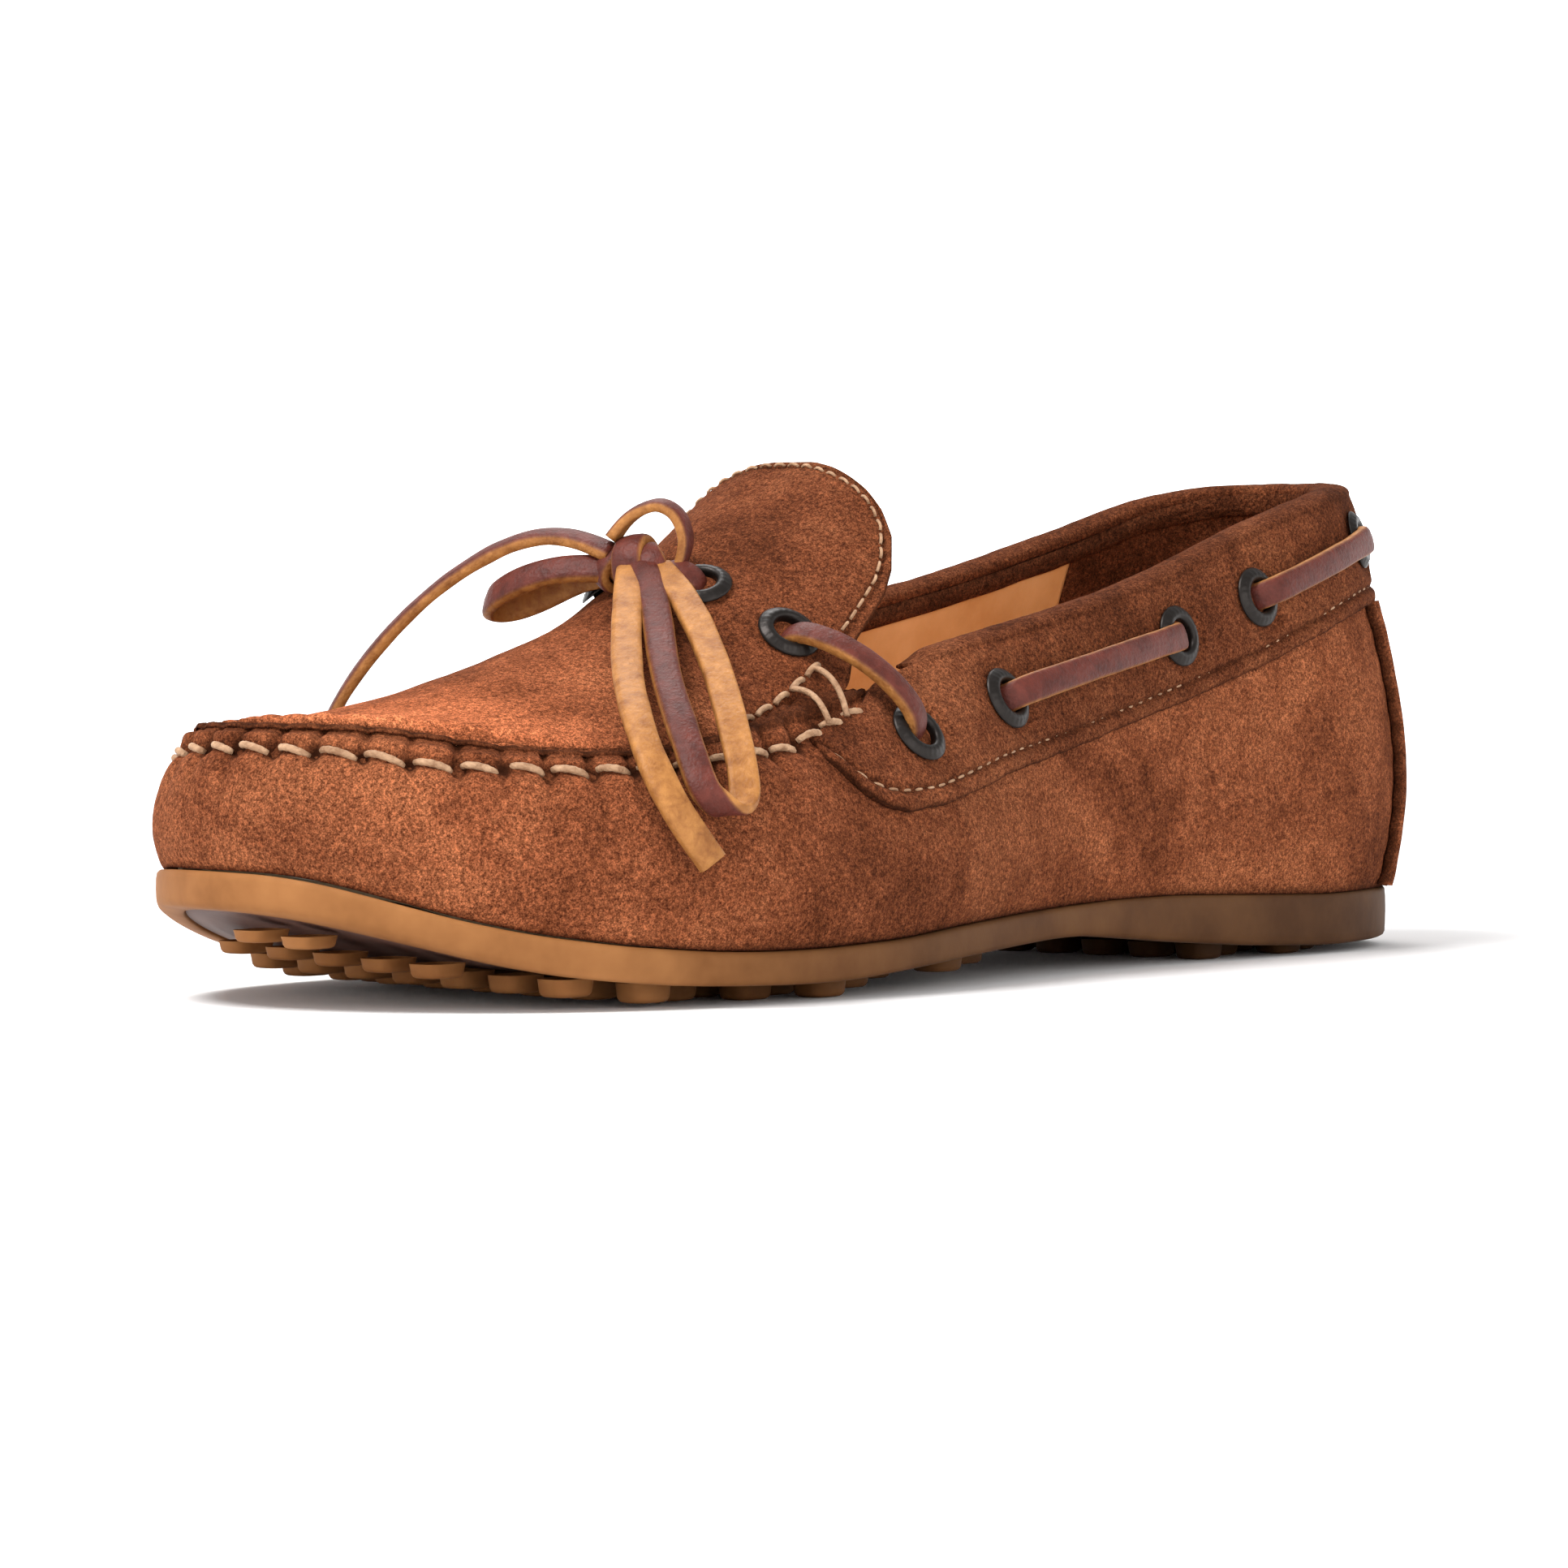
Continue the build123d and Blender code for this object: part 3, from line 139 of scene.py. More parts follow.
def wall(u, t, zt=None):
    """u (n,), t (m,) -> points (n,m,3) on the outer face of the wall"""
    u = np.atleast_1d(u); t = np.atleast_1d(np.asarray(t, float))
    P, N = out_at(u); X = P[:, 0]; s = np.clip(P[:, 1] / 14 * .5 + .5, 0, 1); s = s * s * (3 - 2 * s)
    V = np.stack([FL[i](X) * s + FM[i](X) * (1 - s) for i in range(5)], 1)
    off = cubic_t(V, t)
    z0, z1 = ZF(X, P[:, 1]), ZT(X) + ZMED(X) * (1 - s)
    XY = P[:, None, :] + N[:, None, :] * off[..., None]
    Z = z0[:, None] + (z1 - z0)[:, None] * t[None]
    return np.concatenate([XY, Z[..., None]], 2)
def wall_n(u, t, e=1e-3):
    a = wall(np.atleast_1d(u) + e, t) - wall(np.atleast_1d(u) - e, t)
    b = wall(u, np.atleast_1d(t) + e) - wall(u, np.atleast_1d(t) - e)
    n = np.cross(b, a); n /= np.linalg.norm(n, axis=2)[..., None]
    P, N = out_at(np.atleast_1d(u)); sg = np.sign((n[..., :2] * N[:, None]).sum(2)); sg[sg == 0] = 1
    return n * sg[..., None]
def wall_off(u, t, d):
    return wall(u, t) + wall_n(u, t) * d
def u_of(X, side):
    """perimeter place of the outline point at X on side +1 lateral / -1 medial"""
    i = np.arange(NOUT); a = OUT[:, 0].argmax()
    if side > 0: xs, us = OUT[:a + 1, 0], i[:a + 1] / NOUT
    else: xs, us = OUT[a:, 0][::-1], i[a:][::-1] / NOUT
    return np.interp(X, xs, us)
def t_of_z(u, z):
    P, _ = out_at(np.atleast_1d(u)); X = P[:, 0]; return (z - ZF(X, P[:, 1])) / (ZT(X) + ZMED(X) * (P[:, 1] < 0) - ZF(X, P[:, 1]))
# ---------------------------------------------------------------- apron and tongue
ZC = table([(140,89),(150,90),(156,89.8),(160,88.2),(165,85),(170,82),(175,79.3),(180,77),(185,74.8),(190,72.3),(195,69.4),(200,66.2),(205,63.3),(210,61),(215,59.1),(220,57.3),(225,55.6),(230,54),(235,52.4),(240,50.9),(245,49.6),(250,48.7),(255,47.8),(260,47),(265,46.5),(270,46.3),(276,46.2),(290,45.6)],3)
HH = table([(140,30),(160,30),(173,30),(184,31),(195,27.5),(206,23.3),(216,20),(223,17.6),(233,15),(242,12.6),(250,10.6),(259,8),(268,5.4),(276,3),(290,1.5)],3)
WL = table([(140,39),(160,39),(184,39.5),(195,40.5),(206,41),(222,40.5),(240,38),(252,34.5),(262,31),(272,28),(290,26)],4)
WM = table([(140,33),(160,33),(184,33.5),(195,36),(206,38),(222,38.5),(240,38.5),(252,37),(262,34),(272,30),(290,27)],4)
PL = table([(140,3.0),(160,3.0),(175,2.6),(186,2.1),(200,2.0),(240,2.1),(262,2.4),(276,2.6),(290,2.6)],4)
PM = table([(140,2.6),(160,2.4),(175,2.0),(186,1.7),(200,1.65),(222,1.75),(240,2.0),(262,2.4),(290,2.6)],4)
YC = table([(140,-2),(160,-2),(185,-1),(200,-.5),(225,-1),(290,-1)],6)
def apron(X, Y):
    X = np.asarray(X, float); Y = np.asarray(Y, float)
    d = Y - YC(X); w = np.where(d > 0, WL(X), WM(X))
    return ZC(X) - HH(X) * (np.abs(d) / w) ** np.where(d > 0, PL(X), PM(X))
def apron_n(X, Y, e=.05):
    gx = (apron(X + e, Y) - apron(X - e, Y)) / (2 * e); gy = (apron(X, Y + e) - apron(X, Y - e)) / (2 * e)
    n = np.stack([-gx, -gy, np.ones_like(gx)], -1); return n / np.linalg.norm(n, axis=-1, keepdims=True)


# ------------------------------------------------------------------ small tools
def sst(x, a, b):
    k = np.clip((np.asarray(x, float) - a) / (b - a), 0, 1); return k * k * (3 - 2 * k)
def vnoise(x, y, seed=0):
    x, y = np.broadcast_arrays(np.asarray(x, float), np.asarray(y, float)); xi, yi = np.floor(x).astype(np.int64), np.floor(y).astype(np.int64); fx, fy = x - xi, y - yi
    def h(a, b):
        n = (a * 374761393 + b * 668265263 + seed * 974634777) & 0x7fffffff; n = ((n ^ (n >> 13)) * 1274126177) & 0x7fffffff; return ((n ^ (n >> 16)) & 0xffff) / 32767.5 - 1
    u, v = fx * fx * (3 - 2 * fx), fy * fy * (3 - 2 * fy)
    return (h(xi, yi) * (1 - u) + h(xi + 1, yi) * u) * (1 - v) + (h(xi, yi + 1) * (1 - u) + h(xi + 1, yi + 1) * u) * v
def fbm(x, y, seed=0, oct=4, g=0.5):
    s, a, t = 0, 1.0, 0.0
    for i in range(oct): s = s + a * vnoise(x * 2 ** i, y * 2 ** i, seed + 17 * i); t += a; a *= g
    return s / t
# painted light and shade: for each part a brightness factor along X that multiplies the suede and rubber colours; it
# paints the fall of light from the bright toe to the darker heel into the colour, and its constant factors darken the
# collar facing and heel lining evenly
PAINTED_LIGHT_BY_PART = {"vamp": ([0, 30, 60, 120, 160, 200, 225, 255, 272, 285], [.90, .90, .94, .92, .68, .80, .92, 1.02, 1.06, .82]),
        "apron": ([158, 184, 205, 235, 250, 262, 280], [.54, .66, .84, 1.04, 1.85, 2.1, 1.9]), "seam": ([180, 205, 250, 285], [.75, .8, 1.0, 1.0]),
        "collar": ([0, 60, 120, 150, 180, 200], [1.0, .98, .92, .95, 1.05, 1.2]), "collar_facing": ([0, 200], [.55, .55]), "collar_roll": ([0, 200], [1.0, 1.1]), "lining_heel": ([0, 200], [.75, .75]), "sole": ([0, 40, 120, 180, 215, 255, 288], [.34, .32, .48, .40, .72, 1.28, 1.25]), "studs": ([0, 80, 150, 215, 255], [.25, .25, .4, .8, 1.3])}
def put(P): return (np.asarray(P, float) - np.array([CX, CY, 0.0])) / 1000.0
def mesh(name, P, F, mat, body="shoe", nodes=(), attrs=None, smooth=True, parent=True):
    me = bpy.data.meshes.new(name); me.from_pydata(put(P).tolist(), [], [tuple(int(i) for i in f) for f in F]); me.update()
    if smooth: me.polygons.foreach_set("use_smooth", [True] * len(me.polygons))
    # each point gets its painted light factor from the table at its X; 'dark' (painted shade) defaults to none
    attrs = dict(attrs or {}); X_ = np.asarray(P, float)[:, 0]; light_table = PAINTED_LIGHT_BY_PART.get(name, PAINTED_LIGHT_BY_PART.get(name.split("_")[0], None))
    attrs.setdefault("dark", np.zeros(len(P))); attrs["painted_light"] = np.interp(X_, light_table[0], light_table[1]) if light_table else np.ones(len(P))
    for k, v in attrs.items():
        a = me.attributes.new(k, "FLOAT", "POINT"); a.data.foreach_set("value", np.asarray(v, np.float32).ravel())
    me.materials.append(mat); ob = bpy.data.objects.new(name, me); bpy.context.scene.collection.objects.link(ob)
    if body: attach(ob, body)
    if nodes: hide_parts(*nodes)
    return ob
def quads(n, m, wrap=False):
    i = np.arange(n if wrap else n - 1)[:, None]; j = np.arange(m - 1)[None]; i2 = (i + 1) % n
    return np.stack([i * m + j, i2 * m + j, i2 * m + j + 1, i * m + j + 1], -1).reshape(-1, 4)
def shell(Po, Pi, wrap=False):
    """closed sheet between two grids; returns points and faces"""
    n, m = Po.shape[:2]; P = np.concatenate([Po.reshape(-1, 3), Pi.reshape(-1, 3)]); q = quads(n, m, wrap); k = n * m
    a, b, c = (P[q[len(q) // 2][i]] for i in (0, 1, 3)); out = (Po - Pi).reshape(-1, 3)[q[len(q) // 2][0]]
    flip = np.dot(np.cross(b - a, c - a), out) < 0
    F = [q[:, ::-1] if flip else q, (q if flip else q[:, ::-1]) + k]
    idx = np.arange(k).reshape(n, m)
    loops = [idx[:, 0], idx[::-1, -1]] if wrap else [np.r_[idx[:, 0], idx[-1, 1:], idx[-2::-1, -1], idx[0, -2:0:-1]]]
    for L in loops:
        A, B = L, np.roll(L, -1); r = np.stack([A, A + k, B + k, B], -1); F.append(r[:, ::-1] if flip else r)
    return P, np.concatenate(F)
def tube(C, sec_a, sec_b, prof, close=True):
    """sweep: centres C, frames sec_a/sec_b, profile points (a, b) or one profile per station"""
    C = np.asarray(C, float); prof = np.asarray(prof, float)
    if prof.ndim == 2: prof = np.broadcast_to(prof, (len(C),) + prof.shape)
    P = C[:, None] + sec_a[:, None] * prof[..., :1] + sec_b[:, None] * prof[..., 1:2]; n, m = P.shape[:2]; P = P.reshape(-1, 3)
    i = np.arange(n - 1)[:, None]; j = np.arange(m)[None]; j2 = (j + 1) % m
    F = [tuple(f) for f in np.stack([i * m + j, i * m + j2, (i + 1) * m + j2, (i + 1) * m + j], -1).reshape(-1, 4)]
    if close: F += [tuple(range(m - 1, -1, -1)), tuple((n - 1) * m + k for k in range(m))]
    return P, F
def join(parts):
    P, F, k = [], [], 0
    for p, f in parts: P.append(p); F += [tuple(int(i) + k for i in q) for q in f]; k += len(p)
    return np.concatenate(P), F
def frames(P, N):
    P, N = np.asarray(P, float), np.asarray(N, float); T = np.gradient(P, axis=0); T /= np.linalg.norm(T, axis=1)[:, None] + 1e-12
    N = N - (N * T).sum(1)[:, None] * T; N /= np.linalg.norm(N, axis=1)[:, None] + 1e-12; return T, N, np.cross(T, N)
def resamp(P, step, N=None, smooth=0.0):
    P = np.asarray(P, float); s = np.r_[0, np.cumsum(np.linalg.norm(np.diff(P, axis=0), axis=1))]; n = max(3, int(round(s[-1] / step)) + 1); q = np.linspace(0, s[-1], n)
    R = np.stack([np.interp(q, s, P[:, k]) for k in range(3)], 1); M = None if N is None else np.stack([np.interp(q, s, np.asarray(N, float)[:, k]) for k in range(3)], 1)
    if smooth:
        w = np.exp(-.5 * ((q[:, None] - q[None]) / smooth) ** 2); w /= w.sum(1)[:, None]; e = np.minimum(1, np.minimum(q, q[-1] - q) / (2 * smooth))[:, None]
        R = R * (1 - e) + (w @ R) * e; M = None if M is None else w @ M
    return R, M
SQ = []
for a_ in np.linspace(0, 2 * np.pi, 21)[:-1]:
    c_, s_ = np.cos(a_), np.sin(a_); SQ.append((np.sign(c_) * abs(c_) ** 0.42, np.sign(s_) * abs(s_) ** 0.55))
SQ = np.array(SQ)
def lace_mesh(P, N, w=LACE_W, th=LACE_T, seed=0, smooth=1.2, step=0.8, flip=False, cup=0.12):
    P, N = resamp(P, step, N, smooth); T, N, B = frames(P, N); n = len(P); s = np.arange(n) * step
    ww = w / 2 * (1 + 0.05 * fbm(s / 9, s * 0 + seed, seed, 2)); tt = th / 2 * (1 + 0.10 * fbm(s / 6, s * 0 + seed + 5, seed, 2))
    pr = np.stack([SQ[None, :, 0] * ww[:, None], SQ[None, :, 1] * tt[:, None] - cup * th * (SQ[None, :, 0] ** 2)], -1)
    Pm, F = tube(P, B, N, pr); face = np.clip((SQ[:, 1] * (-1 if flip else 1) - 0.5) / 0.35, 0, 1); return Pm, F, np.tile(face, n)
def laces(name, items, nodes, body="shoe", slot="rawhide", **kw):
    ps, fs = [], []
    for it in items: p, f, a = lace_mesh(*it[:2], **(it[2] if len(it) > 2 else {})); ps.append((p, f)); fs.append(a)
    P, F = join(ps); return mesh(name, P, F, M["rawhide"], body, nodes, {"face": np.concatenate(fs)})

# ------------------------------------------------------------------ materials
SUEDE = ((.105, .030, .0115), (.215, .065, .027), (.330, .110, .047)); GUM = ((.170, .066, .020), (.255, .108, .036))
M = {}
def nt(name):
    m = bpy.data.materials.new(name); m.use_nodes = True; t = m.node_tree; b = t.nodes["Principled BSDF"]; M[name] = m; return t, b
def noise(t, scale, detail=3.0, rough=0.55, dist=0.0):
    n = t.nodes.new("ShaderNodeTexNoise"); n.inputs["Scale"].default_value = scale; n.inputs["Detail"].default_value = detail; n.inputs["Roughness"].default_value = rough; n.inputs["Distortion"].default_value = dist
    c = t.nodes.get("TC") or t.nodes.new("ShaderNodeTexCoord"); c.name = "TC"; t.links.new(c.outputs["Object"], n.inputs["Vector"]); return n.outputs["Fac"] if "Fac" in n.outputs else n.outputs[0]
def ramp(t, fac, stops):
    r = t.nodes.new("ShaderNodeValToRGB"); e = r.color_ramp.elements
    while len(e) > 1: e.remove(e[-1])
    e[0].position, e[0].color = stops[0][0], (*stops[0][1], 1)
    for p, c in stops[1:]: x = e.new(p); x.color = (*c, 1)
    t.links.new(fac, r.inputs[0]); return r.outputs[0]
def mixc(t, fac, a, b, mode="MIX"):
    m = t.nodes.new("ShaderNodeMix"); m.data_type = "RGBA"; m.blend_type = mode
    for sock, v in ((m.inputs[0], fac), (m.inputs[6], a), (m.inputs[7], b)):
        if hasattr(v, "is_output") or isinstance(v, bpy.types.NodeSocket): t.links.new(v, sock)
        elif isinstance(v, (int, float)): sock.default_value = v
        else: sock.default_value = (*v, 1)
    return m.outputs[2]
def math_(t, op, a, b=None):
    m = t.nodes.new("ShaderNodeMath"); m.operation = op
    for i, v in enumerate((a, b)):
        if v is None: continue
        if isinstance(v, bpy.types.NodeSocket): t.links.new(v, m.inputs[i])
        else: m.inputs[i].default_value = v
    return m.outputs[0]
def attr(t, name):
    a = t.nodes.new("ShaderNodeAttribute"); a.attribute_name = name; return a.outputs["Fac"]
def bump(t, b, h, dist, strength=1.0, prev=None):
    n = t.nodes.new("ShaderNodeBump"); n.inputs["Strength"].default_value = strength; n.inputs["Distance"].default_value = dist; t.links.new(h, n.inputs["Height"])
    if prev is not None: t.links.new(prev, n.inputs["Normal"])
    t.links.new(n.outputs[0], b.inputs["Normal"]); return n.outputs[0]
def setv(b, **k):
    for n, v in k.items():
        n = n.replace("_", " ")
        if n in b.inputs: b.inputs[n].default_value = v
def suede(name, k, dk=True, sheen=0.07):
    dark, mid, light = (tuple(k * v for v in c) for c in SUEDE)
    t, b = nt(name); n1 = noise(t, 24, 6, 0.62, 0.6); n2 = noise(t, 130, 5, 0.66, 0.5); n3 = noise(t, 1500, 4, 0.75); n4 = noise(t, 620, 3, 0.65); n5 = noise(t, 3600, 2, 0.7)
    f = math_(t, "ADD", math_(t, "MULTIPLY", n1, 0.58), math_(t, "ADD", math_(t, "MULTIPLY", n2, 0.22), math_(t, "MULTIPLY", n4, 0.20)))
    c = ramp(t, f, [(0.40, dark), (0.50, mid), (0.61, light)])
    g = ramp(t, math_(t, "ADD", math_(t, "MULTIPLY", n3, 0.55), math_(t, "MULTIPLY", n5, 0.45)), [(0.38, (.26, .22, .20)), (0.50, (.94, .92, .90)), (0.62, (2.3, 2.2, 2.05))])
    # the nap speckle and then the painted light factor multiply the colour
    c = mixc(t, 1.0, c, g, "MULTIPLY"); c = mixc(t, 1.0, c, attr(t, "painted_light"), "MULTIPLY")
    # 'dark' mixes in painted shade: creases, pits, grooves, seam lines and hidden inner faces
    if dk: c = mixc(t, attr(t, "dark"), c, tuple(0.30 * x for x in dark))
    t.links.new(c, b.inputs["Base Color"]); setv(b, Roughness=1.0, Sheen_Weight=sheen, Sheen_Roughness=0.5, Specular_IOR_Level=0.05)
    if "Sheen Tint" in b.inputs: b.inputs["Sheen Tint"].default_value = (*light, 1)
    p = bump(t, b, n4, 0.0008, 0.6); bump(t, b, n3, 0.0007, 0.9, p)
# the 1.10 copy is lighter, painted light on the apron and tongue top; the 0.62 copy is darker, painted shade on the
# collar band, its roll and facing, and also used on the heel lining, whose suede is darker; the 0.50 copy is the heel
# lining's own dark suede
suede("suede", 1.0); suede("suede_painted_lit", 1.10); suede("suede_collar", 0.62); suede("suede_dark", 0.50)
def leather(name, c0, c1, rough, bs=900, bd=0.00025):
    t, b = nt(name); f = noise(t, 40, 5, 0.6); c = ramp(t, f, [(0.35, c0), (0.65, c1)]); t.links.new(c, b.inputs["Base Color"]); setv(b, Roughness=rough, Specular_IOR_Level=0.35)
    bump(t, b, noise(t, bs, 3, 0.6), bd, 0.5)
leather("tan_lining", (.66, .31, .11), (.84, .46, .20), 0.42); leather("board", (.30, .22, .13), (.36, .27, .17), 0.9); leather("foam", (.55, .50, .40), (.62, .57, .47), 0.9)
def rubber(name, c0, c1, rough, spec=0.4):
    # the rubber colour is multiplied by the painted light factor, bright at the toe and dark at the heel
    t, b = nt(name); c = ramp(t, noise(t, 60, 4, 0.6), [(0.35, c0), (0.65, c1)]); c = mixc(t, 1.0, c, attr(t, "painted_light"), "MULTIPLY"); t.links.new(c, b.inputs["Base Color"]); setv(b, Roughness=rough, Specular_IOR_Level=spec); bump(t, b, noise(t, 500, 3), 0.00012, 0.4)
rubber("gum_rubber", GUM[0], GUM[1], 0.62, 0.09); rubber("tread_rubber", (.080, .036, .027), (.12, .056, .042), 0.55, 0.2)
t, b = nt("gunmetal"); b.inputs["Base Color"].default_value = (.020, .016, .014, 1); setv(b, Metallic=0.75, Roughness=0.40); bump(t, b, noise(t, 1400, 2), 0.0001, 0.5)
t, b = nt("waxed_thread"); c = ramp(t, noise(t, 500, 4), [(0.35, (.26, .13, .060)), (0.65, (.50, .30, .17))]); t.links.new(c, b.inputs["Base Color"]); setv(b, Roughness=0.7)
w_ = t.nodes.new("ShaderNodeTexNoise"); w_.inputs["Scale"].default_value = 2500; t.links.new(t.nodes["TC"].outputs["Object"], w_.inputs["Vector"]); bump(t, b, w_.outputs[0], 0.0005, 0.7)
t, b = nt("rawhide"); fa = attr(t, "face"); n_ = noise(t, 350, 5, 0.65, 0.3); red = ramp(t, n_, [(0.35, (.062, .012, .0075)), (0.68, (.125, .026, .0165))]); tan = ramp(t, n_, [(0.32, (.22, .078, .018)), (0.68, (.44, .19, .050))])
c = mixc(t, fa, tan, red); t.links.new(c, b.inputs["Base Color"]); setv(b, Roughness=0.48, Specular_IOR_Level=0.22); bump(t, b, noise(t, 1300, 3, 0.6), 0.0004, 0.6)
MATS_OF = {"outsole": "gum_rubber", "tread_panel": "tread_rubber", "forefoot_studs": "gum_rubber", "heel_studs": "gum_rubber", "insole_board": "board", "footbed_foam": "foam", "footbed_cover": "tan_lining", "heel_counter": "board", "collar_padding": "foam", "eyelet_washers": "gunmetal", "lace_tunnel_runs": "rawhide", "vamp_lining": "tan_lining", "quarter_lining_lateral": "tan_lining", "quarter_lining_medial": "tan_lining", "heel_lining": "suede_dark"}
for o in list(bpy.context.scene.objects):
    k = o.get("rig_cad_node")
    if k in MATS_OF and o.type == "MESH": o.data.materials.clear(); o.data.materials.append(M[MATS_OF[k]])

# ------------------------------------------------------------------ places
U_L = lambda X: float(u_of(X, 1)); U_M = lambda X: float(u_of(X, -1))
def xy(a):
    p = out_at(np.asarray(a, float))[0]; return p[:, 0], p[:, 1]
def grid_wall(u, T, D):
    """points of the wall at u (n) and heights T (n, m), moved out by D (n, m)"""
    n, m = T.shape; tt = np.linspace(0, 1, 61); W = wall(u, tt); Nn = wall_n(u, tt); q = np.clip(T, 0, 1) * 60; i = np.clip(q.astype(int), 0, 59); f = (q - i)[..., None]; r = np.arange(n)[:, None]
    P = W[r, i] * (1 - f) + W[r, i + 1] * f; N = Nn[r, i] * (1 - f) + Nn[r, i + 1] * f; N /= np.linalg.norm(N, axis=-1)[..., None]; return P + N * D[..., None], N
def t_z(u, z): return np.array([float(t_of_z(np.array([a]), float(b))[0]) for a, b in zip(u, np.broadcast_to(z, np.shape(u)))])
def wall_frame(X, side, z, d=0.0):
    u = u_of(X, side); t = float(t_of_z(u, z)[0]); p = wall([u], [t])[0, 0]; n = wall_n([u], [t])[0, 0]; return p + n * d, n
def apron_frame(X, Y, d=0.0):
    n = apron_n(X, Y); p = np.array([X, Y, float(apron(X, Y))]); return p + n * d, n

# ------------------------------------------------------------------ sole unit
def ring(inset, zf, n=720):
    i = (np.arange(n) * NOUT) // n; P = OUT[i] - NOR[i] * inset; return np.concatenate([P, zf(P[:, 0], P[:, 1])[:, None]], 1)
def shrink(inset, k, zf, n=720):
    i = (np.arange(n) * NOUT) // n; P = OUT[i] - NOR[i] * inset; xc = np.clip(P[:, 0], 34, 246); yc = np.interp(xc, [34, 60, 120, 180, 246], [1, 1.2, 2, 0.5, -2.5]); Q = np.stack([xc + (P[:, 0] - xc) * k, yc + (P[:, 1] - yc) * k], 1); return np.concatenate([Q, zf(Q[:, 0], Q[:, 1])[:, None]], 1)
def rings(R, closed=True):
    m = len(R); n = len(R[0]); P = np.concatenate(R); i = np.arange(n)[None]; i2 = (i + 1) % n; j = np.arange(m if closed else m - 1)[:, None]; j2 = (j + 1) % m
    F = np.stack([j * n + i, j * n + i2, j2 * n + i2, j2 * n + i], -1).reshape(-1, 4); return P, F
up = lambda d: (lambda x, y: ZF(x, y) + d); lo = lambda d: (lambda x, y: ZB(x, y) + d)
mid = lambda k: (lambda x, y: ZF(x, y) * k + ZB(x, y) * (1 - k))
R = [shrink(3.0, k, up(-0.06)) for k in (0.02, 0.5, 0.96)] + [ring(1.2, up(-0.06)), ring(0.35, up(-0.16)), ring(0.02, up(-0.55)), ring(-0.12, mid(0.78)), ring(-0.16, mid(0.5)), ring(-0.10, mid(0.25)), ring(0.0, lo(0.9)), ring(0.25, lo(0.35)), ring(0.8, lo(0.06)), ring(2.6, lo(0.0)), ring(4.1, lo(0.0)), ring(4.45, lo(0.3)), ring(4.5, lo(1.66))] + [shrink(4.6, k, lo(1.7)) for k in (0.9, 0.5, 0.02)]
P, F = rings(R, False); mesh("sole_rubber", P, F[:, ::-1], M["gum_rubber"], nodes=["outsole"])
def plate(name, ins, z0, z1, mat, node):
    R = [shrink(ins, 0.02, z1), shrink(ins, 0.5, z1), shrink(ins, 0.97, z1), ring(ins, lambda x, y: z1(x, y) - 0.25), ring(ins, z0), shrink(ins, 0.9, z0), shrink(ins, 0.02, z0)]
    P, F = rings(R, False); return mesh(name, P, F[:, ::-1], M[mat], nodes=[node])
plate("tread_sheet", 4.62, lo(0.52), lo(1.6), "tread_rubber", "tread_panel")
plate("footbed_top", 4.0, up(4.68), up(5.7), "tan_lining", "footbed_cover")

def inside(x, y, ins):
    d = OUT - np.array([x, y]); i = (d ** 2).sum(1).argmin(); return np.sqrt((d[i] ** 2).sum()) > ins and (d[i] @ NOR[i]) > 0
def studs(x0, x1, ins):
    out = []; row = 0; x = x0
    while x <= x1:
        for y in np.arange(-5, 6) * STUD_PY + (STUD_PY / 2 if row % 2 else 0):
            if inside(x, y, ins):
                zz = [float(ZB(x + a, y + b)) for a in (-4, 0, 4) for b in (-3, 0, 3)]; zb = max(0.0, float(ZB(x, y)) - STUD_DROP); zt = min(zz) + 0.45
                if zt - zb >= 0.7: out.append((x, y, zb, zt))
        x += STUD_PX; row += 1
    return out
def stud_mesh(x, y, zb, zt):
    a = np.linspace(0, 2 * np.pi, 25)[:-1]; c, s = np.cos(a), np.sin(a); ux, uy = np.sign(c) * abs(c) ** 0.62 * STUD_L / 2, np.sign(s) * abs(s) ** 0.62 * STUD_W / 2; h = zt - zb; r = min(1.3, 0.62 * h)
    R = [np.stack([x + ux * k, y + uy * k, 0 * ux + z], 1) for k, z in ((1.05, zt), (1.01, zb + r + (h - r) * 0.3), (0.995, zb + r), (0.97, zb + r * 0.55), (0.90, zb + r * 0.22), (0.80, zb + r * 0.06), (0.68, zb), (0.35, zb), (0.02, zb))]
    P, F = rings(R, False); return P, F[:, ::-1]
for nm, node, rng in (("studs_front", "forefoot_studs", (152.0, 281.0)), ("studs_back", "heel_studs", (13.0, 78.0))):
    P, F = join([stud_mesh(*q) for q in studs(*rng, 8.6)]); mesh(nm, P, F, M["gum_rubber"], nodes=[node])

# ------------------------------------------------------------------ wall: suede with gathers under the apron seam
PITCH = 7.0
uu = np.linspace(0, 1, 6001); rx, ry = xy(uu); ridge = wall(uu, [1.0])[:, 0]; rs = np.r_[0, np.cumsum(np.linalg.norm(np.diff(ridge, axis=0), axis=1))]
u_start, u_end = U_L(186.0), U_M(186.0); s_start = float(np.interp(u_start, uu, rs)); s_end = float(np.interp(u_end, uu, rs)); NST = int((s_end - s_start) // PITCH)
phase = lambda u: (np.interp(u, uu, rs) - s_start) / PITCH
def seam_z(x):
    z = np.interp(x, [180, 190, 199, 209.7, 224.3, 242, 254.3, 265.7, 275.3, 282, 289], [47, 44.9, 43.2, 40.6, 39.5, 37.8, 37.6, 38.0, 38.8, 40.4, 41.4]); return np.minimum(z, ZT(x) - 2.2)
